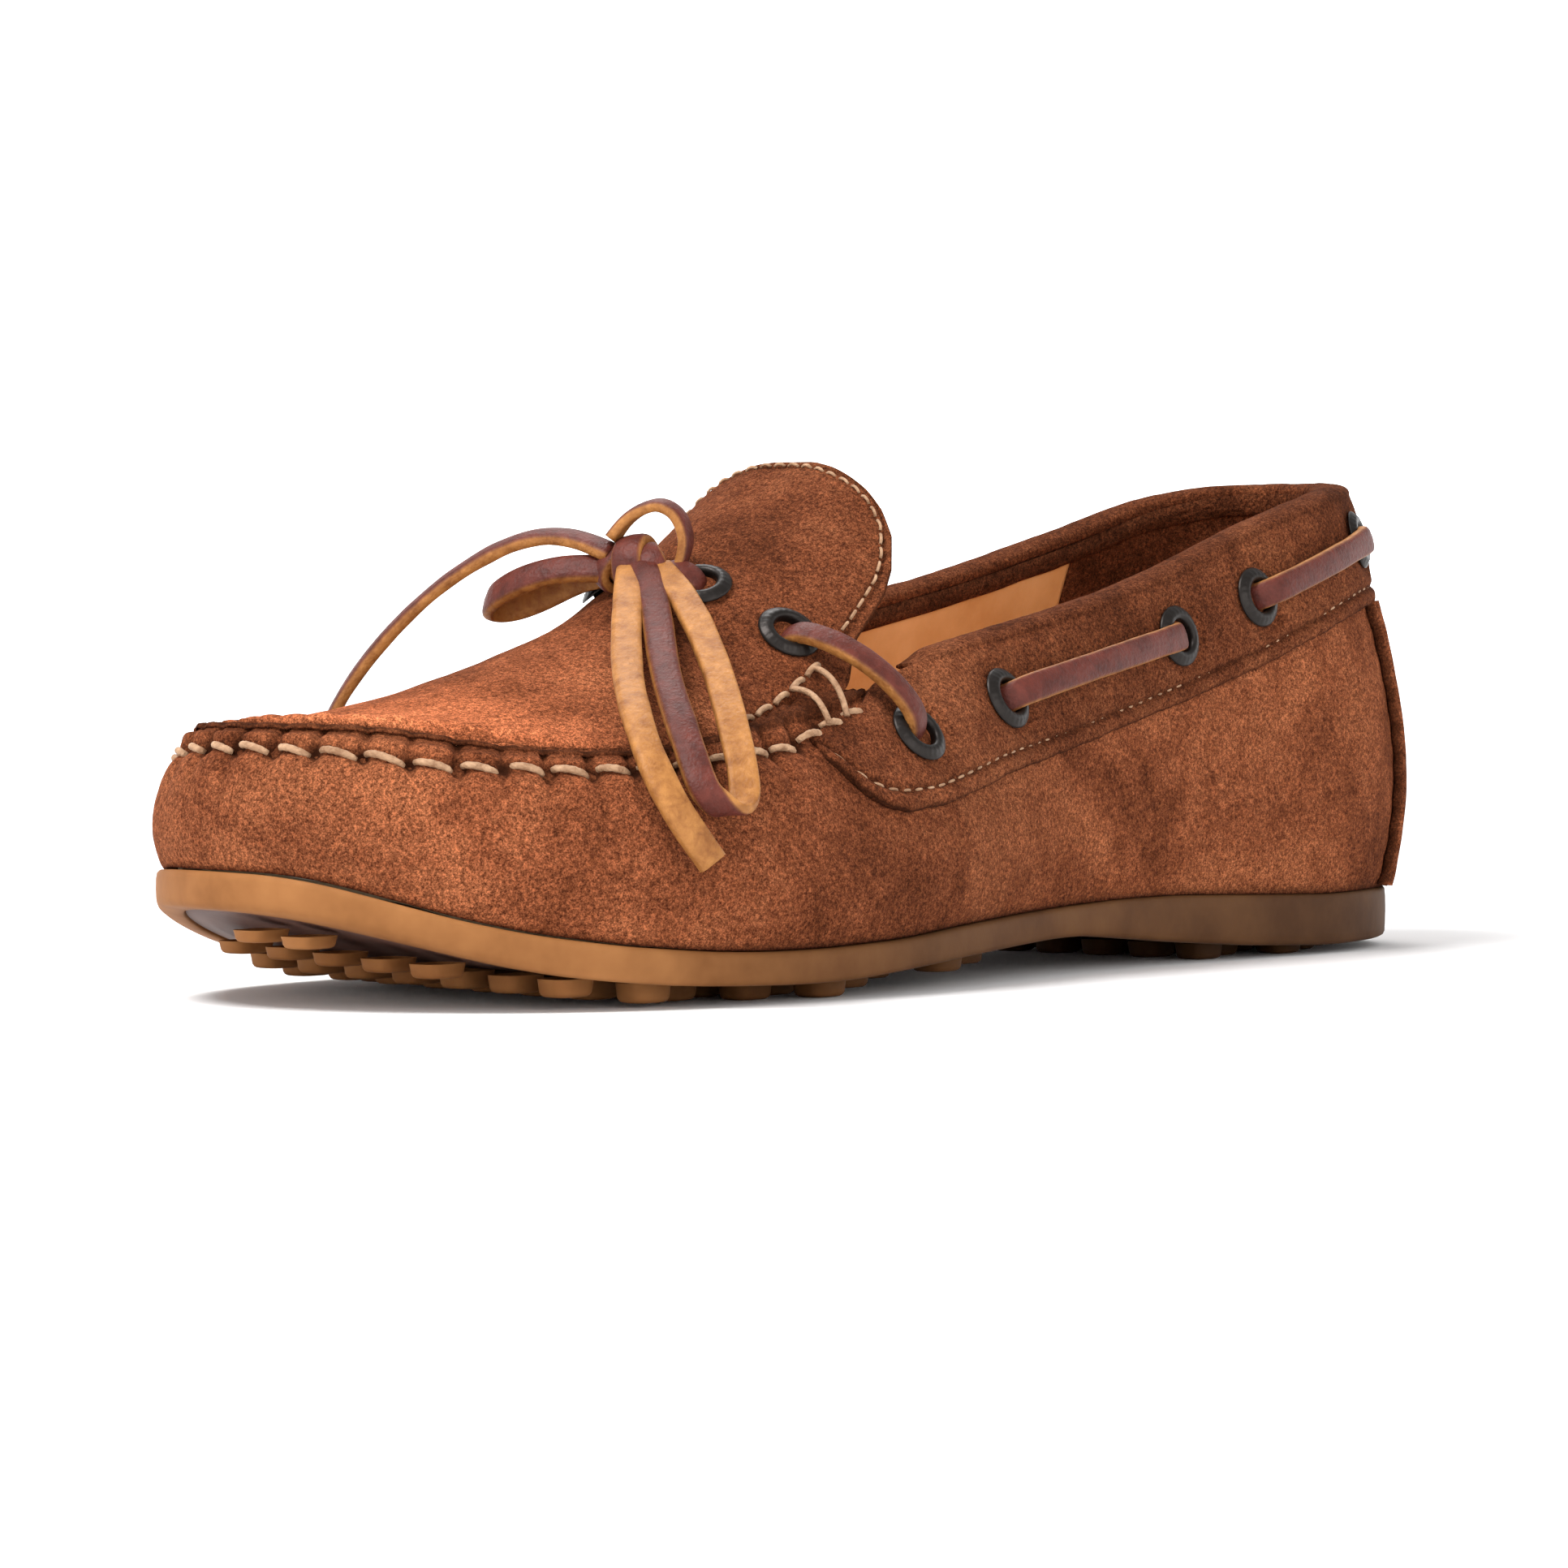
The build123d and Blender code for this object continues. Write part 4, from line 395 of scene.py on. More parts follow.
def gather(u, z, zr):
    """height of the gathered suede over the plain wall, and the painted shade in its creases"""
    x, _ = xy(u); ph = phase(u) + 0.06 * fbm(u * 260, u * 0, 3, 2); w = (sst(x, 188, 200))[:, None]; zs = seam_z(x)[:, None]; h = zs - z; ph = ph[:, None]; d = ph - np.round(ph)
    lump = 1 - np.abs(2 * (ph - np.floor(ph)) - 1) ** 2.2; amp = (1 + 0.7 * vnoise(np.floor(ph + .5) + 0 * h, 0 * h, 11))
    pit = np.exp(-(d * PITCH / 1.05) ** 2 - (h / 1.5) ** 2); crease_up = np.exp(-(d * PITCH / 0.75) ** 2) * sst(-h, 0.2, 1.5); crease_dn = np.exp(-((d * PITCH + 0.5 * h * 0.12) / 1.1) ** 2) * np.exp(-np.clip(h, 0, 99) / 4.2) * (h > 0)
    D = -1.25 * pit * amp - 0.85 * crease_up * (0.4 + 0.6 * amp) - 0.65 * crease_dn * amp + 0.55 * lump * np.exp(-((h + 2.4) / 2.1) ** 2) - 0.75 * np.exp(-(h / 1.15) ** 2) + 0.5 * lump * np.exp(-((h - 3.2) / 2.6) ** 2) + 0.35 * np.exp(-((h - 7) / 6) ** 2)
    # K: painted shade in the seam pits, in the creases above and below the seam and along the seam line
    uneven = 0.55 + 0.45 * vnoise(np.round(ph) + 0 * h, 0 * h, 13); K = 0.95 * pit + 0.42 * crease_up * uneven + 0.30 * crease_dn * uneven + 0.40 * np.exp(-(h / 1.0) ** 2) + 0.42 * sst(-h, 1.6, 4.4)
    return D * w, np.clip(K * w, 0, 1)
def soft(u, z, k=1.0):
    s = np.interp(u, uu, rs)[:, None]; x = xy(u)[0][:, None]
    big = fbm(s / 46, z / 30, 5, 3); fold = fbm(s / 17 + z / 40, z / 13, 9, 3); fine = fbm(s / 3.2, z / 3.2, 21, 3)
    return k * (0.55 * big + 0.30 * fold * (0.5 + 0.8 * sst(x, 120, 200)) + 0.07 * fine)
nu = 1900; u = np.linspace(0.0004, 0.9996, nu); k = np.linspace(0, 1, 72); k = 1 - (1 - k) ** 1.25; T = np.tile(k, (nu, 1)); P0, N0 = grid_wall(u, T, 0 * T)
D, K = gather(u, P0[..., 2], None); x_ = P0[..., 0]; low = np.exp(-((T - 0.0) / 0.035) ** 2)
D = D + soft(u, P0[..., 2]) * sst(T, 0.0, 0.15) * (1 - 0.6 * sst(T, 0.85, 1.0) * sst(186 - x_, 0, 8)) - 0.35 * low
# painted shade along the foot of the wall where it meets the sole, and in the hollows of the soft folds
K = np.maximum(K, 0.55 * np.exp(-(T / 0.02) ** 2)); K = np.clip(K + 0.12 * np.clip(-soft(u, P0[..., 2]), 0, 1), 0, 1)
cover = sst(206 - x_, 0, 5) * (T > 0.0); zc_low = np.interp(x_, [0, 12, 28, 40, 54, 69, 84, 109, 131, 155, 178, 190, 196, 200, 202.5, 205.5], [65, 64.8, 63.6, 61.2, 57.1, 52.6, 48.9, 43.2, 38.7, 35.1, 30.2, 29.8, 31.2, 33.9, 37.2, 40.2])
under = sst(P0[..., 2] - zc_low, 0.3, 2.5) * cover; D = D * (1 - under) - 0.1 * under; stay_k = sst(25 - x_, 0, 5) * (P0[..., 2] < 66); D = D * (1 - stay_k) - 0.15 * stay_k
Po = P0 + N0 * D[..., None]; Pi = P0 - N0 * (WALL_T); drop = 2.3 * sst(x_, 208, 240) * sst(T, 0.84, 1.0); Po[..., 2] -= drop; Pi[..., 2] -= drop; P, F = shell(Po, Pi)
# the inner face of the wall gets a painted shade of 0.6
mesh("vamp_suede", P, F, M["suede"], nodes=["vamp"], attrs={"dark": np.r_[K.ravel(), K.ravel() * 0 + 0.6]})

# raised, gathered edge of the seam: the two raw edges standing side by side
def seam_edge():
    x0 = 181.0; u = np.linspace(U_L(x0), U_M(x0), 2600); x, y = xy(u); W = wall(u, [1.0])[:, 0]; Nn = wall_n(u, [1.0])[:, 0]; H = Nn.copy(); H[:, 2] = 0; H /= np.linalg.norm(H, axis=1)[:, None]
    ph = phase(u) + 0.05 * fbm(u * 260, u * 0, 3, 2); lump = 1 - np.abs(2 * (ph - np.floor(ph)) - 1) ** 2.0; am = 1 + 0.35 * vnoise(np.floor(ph), 0 * ph, 31); s = np.interp(u, uu, rs); rag = 0.22 * fbm(s / 0.9, 0 * s, 41, 3)
    fine = 0.25 * np.abs(np.sin(np.pi * ph * 2.0 + 1.3 * vnoise(ph, ph * 0, 77)))
    w = sst(x, 182, 192); toe_low = sst(x, 206, 240); wide = sst(214 - x, 0, 12) * sst(x, 181, 187)
    prof = [(-1.55, -2.6, .2), (0.10, -2.0, .25), (0.42, -0.9, .45), (0.45, 0.0, .75), (0.15, 0.75, 1.0), (-0.6, 0.95, .85), (-1.35, 0.55, 1.0), (-1.65, 0.15, 1.0), (-1.95, 0.55, 1.0), (-2.6, 0.85, .85), (-3.3, 0.55, .8), (-3.8, -0.1, .5), (-4.2, -1.2, .3), (-4.3, -2.4, .3)]
    # Kk darkens the raw edges, most on their tops and in the gap between them, and more between the lumps; the
    # darkening in the gap and between the lumps is painted shade
    G, Kk = [], []
    for i, (a, b, kk) in enumerate(prof):
        up_ = (b > -1.0) * (0.55 * (lump - 0.45) * am + fine - 0.12) * w + rag * (b > 0); out = (0.45 * (lump - 0.5) * am) * w * (a > -1.5) - (0.40 * (lump - 0.5)) * w * (a < -3.0)
        arch = math.sin(math.pi * min(1, max(0, (0.45 - a) / 4.7))); up_ = up_ + wide * (1.1 * arch + 0.35 * (lump - .5))
        G.append(W + H * ((a if a > 0 else a * (1 + 0.42 * wide)) + out)[:, None] + np.stack([0 * up_, 0 * up_, (b * (0.55 + 0.45 * w) * (1 - 0.55 * toe_low * (b > -1))) + up_ * (1 - 0.45 * toe_low) - 2.1 * toe_low * (b > -1)], 1)); Kk.append(np.clip(kk * (0.70 + 0.4 * (1 - lump)) * (1 - 0.35 * wide), 0, 1))
    G = np.stack(G, 1); Kk = np.stack(Kk, 1); n, m = G.shape[:2]; q = quads(n, m); P = G.reshape(-1, 3)
    c = P[q[len(q) // 2]]; flip = np.dot(np.cross(c[1] - c[0], c[2] - c[0]), np.array([0, 0, 1.0])) < 0
    cap = [tuple(range(m)), tuple((n - 1) * m + i for i in range(m))[::-1]]; bot = [(i * m, (i + 1) * m, (i + 1) * m + m - 1, i * m + m - 1) for i in range(n - 1)]
    F = [tuple(f[::-1] if flip else f) for f in q] + cap + bot
    mesh("seam_raw_edge", P, F, M["suede"], attrs={"dark": Kk.ravel()})
seam_edge()

# ------------------------------------------------------------------ thick thread of the seam
def thread():
    out = []; pr = np.array([(np.cos(a), np.sin(a)) for a in np.linspace(0, 2 * np.pi, 11)[:-1]])
    for i in range(NST):
        s0 = s_start + i * PITCH + 1.0; s1 = s0 + 5.1 + 0.5 * float(vnoise(i * 1.7, 0.3, 61)); ss = np.linspace(s0, s1, 13); u = np.interp(ss, rs, uu); x, y = xy(u); k = np.linspace(0, 1, 13); dz = 0.18 * float(vnoise(i * 1.3, 9.1, 62))
        z = seam_z(x) + dz + (k - .5) * 1.0; t = t_z(u, z); arch = np.sin(np.pi * k) ** 0.5; lift = COLLAR_T * sst(209 - x, 0, 4); d = -0.95 + 1.25 * arch + lift
        P, N = grid_wall(u, t[:, None], d[:, None]); P, N = P[:, 0], N[:, 0]; T_, N_, B_ = frames(P, N); r = (0.60 - 0.10 * np.abs(2 * k - 1) ** 3)[:, None, None]; wob = 1 + 0.07 * np.sin(k * 26 + i)[:, None, None]
        out.append(tube(P, B_, N_, pr[None] * r * wob))
    for sd in (1, -1):
        def top_pt(X): a = u_of(X, sd); w_ = wall([a], [1.0])[0, 0]; n_ = wall_n([a], [1.0])[0, 0]; hh = np.array([n_[0], n_[1], 0]); hh /= np.linalg.norm(hh); q = w_ - hh * 5.6; q[2] = float(apron(q[0], q[1])) + 0.75; return q
        def low_pt(X): a = u_of(X, sd); z_ = float(seam_z(np.array([X]))[0]); P_, N_ = grid_wall(np.array([a]), t_z(np.array([a]), z_)[:, None], np.array([[0.5 + COLLAR_T * float(sst(209 - X, 0, 4))]])); return P_[0, 0]
        for X in np.arange(188.0, 212.0, 5.4):
            A_, B_2 = top_pt(X), top_pt(X + 3.9); kk = np.linspace(0, 1, 9)[:, None]; L_ = A_ * (1 - kk) + B_2 * kk; L_[:, 2] += 0.55 * np.sin(np.pi * kk[:, 0]) ** 0.5 - 0.35; T_, N_, B_ = frames(L_, np.tile([0, 0, 1.0], (9, 1))); out.append(tube(L_, B_, N_, pr * 0.52))
        for X0, X1 in ((197.4, 199.0), (189.6, 193.0)):
            A_, B_2 = top_pt(X0), low_pt(X1); M_ = (A_ + B_2) / 2 + np.array([0, 1.6 * sd, 3.1]); kk = np.linspace(0, 1, 15)[:, None]; L_ = A_ * (1 - kk) ** 2 + 2 * M_ * kk * (1 - kk) + B_2 * kk ** 2; T_, N_, B_ = frames(L_, np.tile([0, 0.4 * sd, 1.0], (15, 1))); out.append(tube(L_, B_, N_, pr * 0.52))
    P, F = join(out); mesh("seam_thread", P, F, M["waxed_thread"], nodes=["apron_stitching"])
thread()

# ------------------------------------------------------------------ apron and tongue, one piece of suede
bl = wall_off(np.linspace(U_L(180.0), U_M(180.0), 900), np.array([1.0]), -2.6)[:, 0, :2]; ib = bl[:, 0].argmax()
latX, latY, medX, medY = bl[:ib + 1, 0], bl[:ib + 1, 1], bl[ib:, 0][::-1], bl[ib:, 1][::-1]; XMAX = bl[ib, 0]; YTOE = bl[ib, 1]
TLp = np.array([(158.4, 0), (158.6, 6), (159.6, 12), (160.2, 18.3), (161.0, 22.5), (162.6, 26.0), (166.1, 28.8), (169.6, 30.2), (173.8, 30.9), (178.0, 31.5), (183.75, 32.0), (190, 33.4)])
def half(X, side, ins=0.0):
    t_ = np.interp(X, TLp[:, 0], TLp[:, 1]) * (1 if side > 0 else 0.97); b = np.interp(X, latX, latY) if side > 0 else -np.interp(X, medX, medY); k = sst(X, 178, 186); return np.maximum((t_ * (1 - k) + b * k) - ins, 0.02 if X < 170 else -99)
def cap_mesh(name, ins, d0, d1, mat, nodes, disp=True, nx=260, ny=150):
    a = np.linspace(0, 1, nx); X = 158.45 + ins + (XMAX - 0.02 - ins - 158.45 - ins) * (0.5 - 0.5 * np.cos(np.pi * a)) ; G = np.zeros((nx, ny, 3)); k = np.linspace(0, 1, ny); k = 0.5 * k + 0.5 * (0.5 - 0.5 * np.cos(np.pi * k))
    for i, xx in enumerate(X):
        yl, ym = half(xx, 1, ins), -half(xx, -1, ins)
        if yl < ym: yl = ym = (yl + ym) / 2
        y = ym + (yl - ym) * k; G[i, :, 0] = xx; G[i, :, 1] = y; G[i, :, 2] = apron(xx + 0 * y, y)
    N = apron_n(G[..., 0], G[..., 1]); D = np.zeros(G.shape[:2]); K = np.zeros(G.shape[:2])
    if disp:
        x, y = G[..., 0], G[..., 1]; bx = bl[None, :, 0]
        dist = np.full(x.shape, 99.0); ph = np.zeros(x.shape); ub = np.linspace(U_L(180.0), U_M(180.0), 900); pb = phase(ub)
        for i in range(nx):
            dd = np.hypot(x[i][:, None] - bl[None, :, 0], y[i][:, None] - bl[None, :, 1]); j = dd.argmin(1); dist[i] = dd[np.arange(ny), j]; ph[i] = pb[j]
        w = sst(x, 188, 200); lump = 1 - np.abs(2 * (ph - np.floor(ph)) - 1) ** 2; cr = np.exp(-((ph - np.round(ph)) * PITCH / 1.0) ** 2)
        D = w * (-0.9 * np.exp(-((dist - 1.9) / 1.1) ** 2) - 0.55 * cr * np.exp(-dist / 4.0) + 0.45 * lump * np.exp(-((dist - 4.6) / 2.4) ** 2)) + 0.55 * fbm(x / 30, y / 22, 51, 3) + 0.22 * fbm(x / 11, y / 11, 57, 3) + 0.05 * fbm(x / 2.6, y / 2.6, 59, 3)
        D += 0.5 * np.exp(-((x - 186 - 0.004 * y ** 2) / 2.4) ** 2) * 0.0 - 0.45 * np.exp(-((x - 187.5) / 3.0) ** 2) * (0.6 + 0.4 * vnoise(y / 7, 0 * y, 63))
        # K: painted shade along the seam, in the creases near it, in the hollows of the folds and in the groove along
        # the tongue's edge; the edge itself is darkened too
        K = np.clip(w * (0.85 * np.exp(-((dist - 1.5) / 0.9) ** 2) + 0.35 * cr * np.exp(-dist / 3.5) * (1 - 0.8 * sst(x, 225, 250))) + 0.10 * np.clip(-fbm(x / 11, y / 11, 57, 3), 0, 1), 0, 1)
        edge = np.minimum(k, 1 - k)[None] * (half(175, 1) * 2); te = np.where(x < 184, np.minimum(np.abs(y - 0) * 0 + edge, x - 158.4), 99); D -= 0.45 * np.exp(-((te - 1.9) / 0.45) ** 2) * (x < 184); K = np.maximum(K, 0.45 * np.exp(-((te - 1.9) / 0.5) ** 2) * (x < 184)); K = np.maximum(K, 0.8 * (te < 0.25))
    if disp:
        st = []; pr = np.array([(np.cos(q), np.sin(q)) for q in np.linspace(0, 2 * np.pi, 7)[:-1]]); tp = TLp[:-1]; line = np.concatenate([(tp * [1, -0.97])[::-1], tp[1:]]); ctr = np.array([176.0, 0.0]); line = line + (ctr - line) / np.linalg.norm(ctr - line, axis=1)[:, None] * 2.0
        sl = np.r_[0, np.cumsum(np.linalg.norm(np.diff(line, axis=0), axis=1))]; L3 = []; q = np.arange(0, sl[-1], 0.2); lx, ly = np.interp(q, sl, line[:, 0]), np.interp(q, sl, line[:, 1]); L3 = np.stack([lx, ly, apron(lx, ly)], 1); s3 = np.r_[0, np.cumsum(np.linalg.norm(np.diff(L3, axis=0), axis=1))]
        s_ = 1.0
        while s_ < s3[-1] - 3:
            e = np.linspace(s_, s_ + 2.2, 5); c = np.stack([np.interp(e, s3, L3[:, z]) for z in range(3)], 1); nn = apron_n(c[:, 0], c[:, 1]); c = c + nn * (np.array([-.1, .28, .36, .28, -.1]))[:, None]; T_, N_, B_ = frames(c, nn); st.append(tube(c, B_, N_, pr * 0.27)); s_ += 3.1
        Pq, Fq = join(st); mesh("tongue_topstitch", Pq, Fq, M["waxed_thread"], body="tongue")
    # the underside gets a painted shade of 0.45
    P, F = shell(G + N * (D + d0)[..., None], G + N * d1); K2 = np.r_[K.ravel(), K.ravel() * 0 + 0.45]
    o = mesh(name, P, F, M[mat], body=None, nodes=nodes, attrs={"dark": K2}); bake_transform(o); return o
cap_mesh("apron_tongue_suede", 0.0, 0.0, -APRON_T, "suede_painted_lit", ["apron", "tongue_flap"])
cap_mesh("apron_tongue_lining", 0.9, -APRON_T - GAP, -APRON_T - GAP - LINING_T, "tan_lining", ["apron_lining", "tongue_lining"], disp=False, nx=90, ny=60)

# ------------------------------------------------------------------ collar band, its rolled edge, backstay
CL = np.array([(205.5,40.2),(202.5,37.2),(200,33.9),(196,31.2),(190,29.8),(178,30.2),(155,35.1),(131,38.7),(109,43.2),(84,48.9),(69,52.6),(54,57.1),(40,61.2),(28,63.6),(12,64.8),(0,65.0)])[::-1]
CH = np.array([(206,41.2),(199,43.4),(191,45.2),(183,47.4),(178.5,49.6)])[::-1]
CLf = table([tuple(q) for q in CL], 3); CHf = table([(160, 53)] + [tuple(q) for q in CH], 2)
CE = [(177.0, 41.7), (148.5, 47.3), (93.6, 58.0), (68.0, 64.9), (22.5, 75.8)]; AE = [(195.3, 11.3), (190.4, 26.5), (192.6, -11.2), (190.2, -25.6)]
def collar():
    nu, m = 1500, 56; u = np.linspace(U_M(204.3) - 1.0, U_L(204.3), nu); x, y = xy(u); s = np.interp(u % 1.0, uu, rs) + np.where(u < 0, -rs[-1], 0); zl = CLf(x) + 0.35 * fbm(s / 9, 0 * s, 71, 3) + 0.16 * fbm(s / 1.2, 0 * s, 73, 2)
    tl = t_z(u, zl); k1 = np.clip((x - 178.5) / 7, 0, 1); k1 = k1 * k1 * (3 - 2 * k1); th = np.where(x < 178.5, 1.0, np.minimum(1, (1 - k1) + t_z(u, CHf(x)) * k1)); th = np.maximum(th, tl + 0.012)
    T = tl[:, None] + (th - tl)[:, None] * np.linspace(0, 1, m)[None]; P0, N0 = grid_wall(u, T, 0 * T); z = P0[..., 2]; h = z - zl[:, None]; top = (P0[:, -1, 2][:, None] - z); sg = np.where(y >= 0, 1, -1)
    zc = np.interp(x, [q[0] for q in CE[::-1]], [q[1] for q in CE[::-1]], left=75.8)[:, None]; tun = ((x > 148.5) & (x < 177) | (x > 68) & (x < 93.6) | (x < 22.5)).astype(float); ker = np.exp(-.5 * (np.arange(-40, 41) / 12) ** 2); tun = np.convolve(np.pad(tun, 40, mode="edge"), ker / ker.sum(), "valid")[:, None]
    D = COLLAR_T + 0.15 + 0.55 * np.exp(-((z - zc) / 3.6) ** 2) * tun + 0.35 * sst(top, 0.0, 3.0) * sst(h, 0, 6) + 0.40 * fbm(s[:, None] / 24, z / 12, 75, 3) * sst(h, 0, 4) + 0.20 * fbm(s[:, None] / 7, z / 6, 79, 3) + 0.05 * fbm(s[:, None] / 2, z / 2, 81, 2)
    d = np.minimum(h, 99); gro = np.exp(-((d - 3.0) / 0.55) ** 2); D = D - 0.55 * gro + 0.25 * np.exp(-((d - 1.4) / 1.0) ** 2); D = np.maximum(D, 0.5 + 0.3 * (d < 0.3)); D -= 0.35 * np.exp(-(d / 0.3) ** 2)
    for sd in (1, -1):
        for cxp, czp in CE:
            c, _ = wall_frame(cxp, sd, czp); rr = np.linalg.norm(P0 - c, axis=-1); D = np.where(rr < 8.5, D + (COLLAR_T - D - 0.05) * sst(8.5 - rr, 0, 3.0), D)
    # K: painted shade in the groove, along the lower edge where the collar meets the wall and in the hollows of the
    # folds; the inner face gets a painted shade of 0.6
    K = np.clip(0.5 * gro + 0.8 * np.exp(-(d / 0.35) ** 2) + 0.15 * np.clip(-fbm(s[:, None] / 7, z / 6, 79, 3), 0, 1), 0, 1)
    P, F = shell(P0 + N0 * D[..., None], P0 + N0 * 0.02); mesh("collar_suede", P, F, M["suede_collar"], nodes=["collar_band"], attrs={"dark": np.r_[K.ravel(), 0.6 + 0 * K.ravel()]})
    st = []; i = 0; sl = s[0] + 2.0; pr = np.array([(np.cos(a), np.sin(a)) for a in np.linspace(0, 2 * np.pi, 7)[:-1]])
    while sl < s[-1] - 3:
        a = np.interp(np.linspace(sl, sl + 2.3, 5), s, u); xx, _ = xy(a); zz = CLf(xx) + 3.0; P_, N_ = grid_wall(a, t_z(a, zz)[:, None], np.array([[.55], [.9], [1.0], [.9], [.55]])); P_, N_ = P_[:, 0], N_[:, 0]; T_, N_, B_ = frames(P_, N_); st.append(tube(P_, B_, N_, pr * 0.26)); sl += 3.3
    P, F = join(st); mesh("collar_topstitch", P, F, M["waxed_thread"])
collar()
def lin(x, t):
    back = sst(197 - x, 0, 22); pad = sst(t, 0.45, 0.70); return -(WALL_T + 0.1 + back * (1.35 + 1.35 * pad))
def binding():
    u = np.linspace(U_M(164.6) - 1.0, U_L(164.6), 1500); x, y = xy(u); s = np.arange(len(u)) * 0.33; W = wall(u, [1.0])[:, 0]; Nn = wall_n(u, [1.0])[:, 0]; H = Nn.copy(); H[:, 2] = 0; H /= np.linalg.norm(H, axis=1)[:, None]
    d1 = COLLAR_T + 0.30; d0 = lin(x, 0.985) - LINING_T - 0.15; w = sst(164.6 - x, 0, 6); G = []
    for a in np.linspace(-0.30 * np.pi, 1.14 * np.pi, 24):
        c, s_ = (1 - math.cos(a)) / 2, math.sin(a); dd = d0 + (d1 - d0) * c; hgt = 1.75 * np.sign(s_) * abs(s_) ** 0.75 * (0.35 + 0.65 * w) + 0.10 * fbm(s / 5, a * 2 + 0 * s, 91, 2); G.append(W + H * dd[:, None] + np.stack([0 * x, 0 * x, 0.15 + hgt - 0.5 * (1 - w)], 1))
    G = np.stack(G, 1); n, m = G.shape[:2]; q = quads(n, m); P = G.reshape(-1, 3); cc = P[q[(n // 2) * (m - 1) + m // 2]]; flip = np.dot(np.cross(cc[1] - cc[0], cc[2] - cc[0]), np.array([0, 0, 1.0])) < 0
    F = [tuple(f[::-1] if flip else f) for f in q] + [tuple(range(m)), tuple((n - 1) * m + i for i in range(m))[::-1]] + [(i * m, (i + 1) * m, (i + 1) * m + m - 1, i * m + m - 1) for i in range(n - 1)]
    mesh("collar_roll", P, F, M["suede_collar"], nodes=["collar_binding"], attrs={"dark": np.full(len(P), 0.25)})
binding()
def backstay():
    bw = lambda z: np.interp(z, [11, 14, 20, 36, 50, 58, 64], [24, 21, 19.3, 19, 19.4, 21, 23.4]); nz, nk = 260, 300; zz = np.linspace(11.8, 64.4, nz); k = np.linspace(-1, 1, nk); Po, Pi, KK = [], [], []
    for z in zz:
        b = float(bw(z)) + 0.55 * math.cos(2 * math.pi * z / 5.6); uL, uM = U_L(b), U_M(b) - 1.0; a = np.where(k >= 0, k * uL, -k * uM); t = np.clip(t_z(a, np.full(nk, z)), 0, 1); e = 1 - np.abs(k); ds = e * 40.0
        hole = np.exp(-((math.cos(2 * math.pi * z / 5.6) + 1) / 0.5) ** 2); D = BACKSTAY_T + GAP + 0.25 * fbm(a * 60, z / 14 + 0 * a, 101, 3) - 0.9 * np.exp(-((ds - 2.3) / 1.0) ** 2) * (0.35 + 0.65 * hole) + 0.35 * np.exp(-((ds - 4.6) / 2) ** 2) - 0.9 * np.exp(-(ds / 0.35) ** 2)
        # KK: painted shade on the centre seam line, in the grooves beside it and at the stitch holes; the inner face
        # gets a painted shade of 0.7
        P, N = grid_wall(a, t[:, None], D[:, None]); Q, _ = grid_wall(a, t[:, None], np.full((nk, 1), 0.03)); Po.append(P[:, 0]); Pi.append(Q[:, 0]); KK.append(np.clip(0.7 * np.exp(-(ds / 0.6) ** 2) + 0.5 * np.exp(-((ds - 2.3) / 0.9) ** 2) * (0.3 + 0.7 * hole), 0, 1))
    P, F = shell(np.array(Po), np.array(Pi)); KK = np.array(KK); mesh("backstay_suede", P, F, M["suede"], nodes=["backstay"], attrs={"dark": np.r_[KK.ravel(), 0.7 + 0 * KK.ravel()]})
backstay()

# ------------------------------------------------------------------ linings
def lining(name, u, top, mat, node):
    x, y = xy(u); t0 = t_z(u, ZF(x, y) + 5.75); T = t0[:, None] + (top - t0)[:, None] * np.linspace(0, 1, 40)[None]; D = lin(x[:, None], T); s = np.interp(u % 1.0, uu, rs)[:, None]; w = 0.10 * fbm(s / 14, T * 4, 111, 3)
    A, _ = grid_wall(u, T, D + w); B, _ = grid_wall(u, T, D - LINING_T + w); P, F = shell(B, A); n = len(P) // 2; mesh(name, P, F, M[mat], nodes=[node], attrs={"dark": np.zeros(len(P))})
u = np.linspace(U_L(160.5), U_M(160.5), 300); x, y = xy(u); lining("lining_front", u, 0.78 + 0.19 * np.clip((178 - x) / 14, 0, 1), "tan_lining", "vamp_lining")
lining("lining_lateral", np.linspace(U_L(49.0), U_L(160.0), 140), 0.99, "tan_lining", "quarter_lining_lateral"); lining("lining_medial", np.linspace(U_M(160.0), U_M(49.0), 140), 0.99, "tan_lining", "quarter_lining_medial")
lining("lining_heel", np.linspace(U_M(48.5) - 1.0, U_L(48.5), 160), 0.99, "suede_collar", "heel_lining")

def facing():
    u = np.linspace(U_M(150.0) - 1.0, U_L(150.0), 700); x, y = xy(u); H_ = np.array([float(v) for v in (ZT(x) - ZF(x, y))]); t0 = 0.985 - 1.9 / H_; T = t0[:, None] + (1.0 - t0)[:, None] * np.linspace(0, 1, 24)[None]; e = np.linspace(0, 1, 24)[None]
    D = lin(x[:, None], T) - LINING_T - 0.12; s = np.arange(len(u))[:, None] * 0.5; puff = 0.5 * np.sin(np.pi * np.clip(e, 0, 1)) ** 0.6 + 0.25 * fbm(s / 9, e * 3, 121, 3)
    A, _ = grid_wall(u, T, D); B, _ = grid_wall(u, T, D - 0.25 - puff); A[:, -1, 2] += 0.9; B[:, -1, 2] += 0.9; P, F = shell(B, A); mesh("collar_facing", P, F, M["suede_collar"], attrs={"dark": np.zeros(len(P))})
facing()

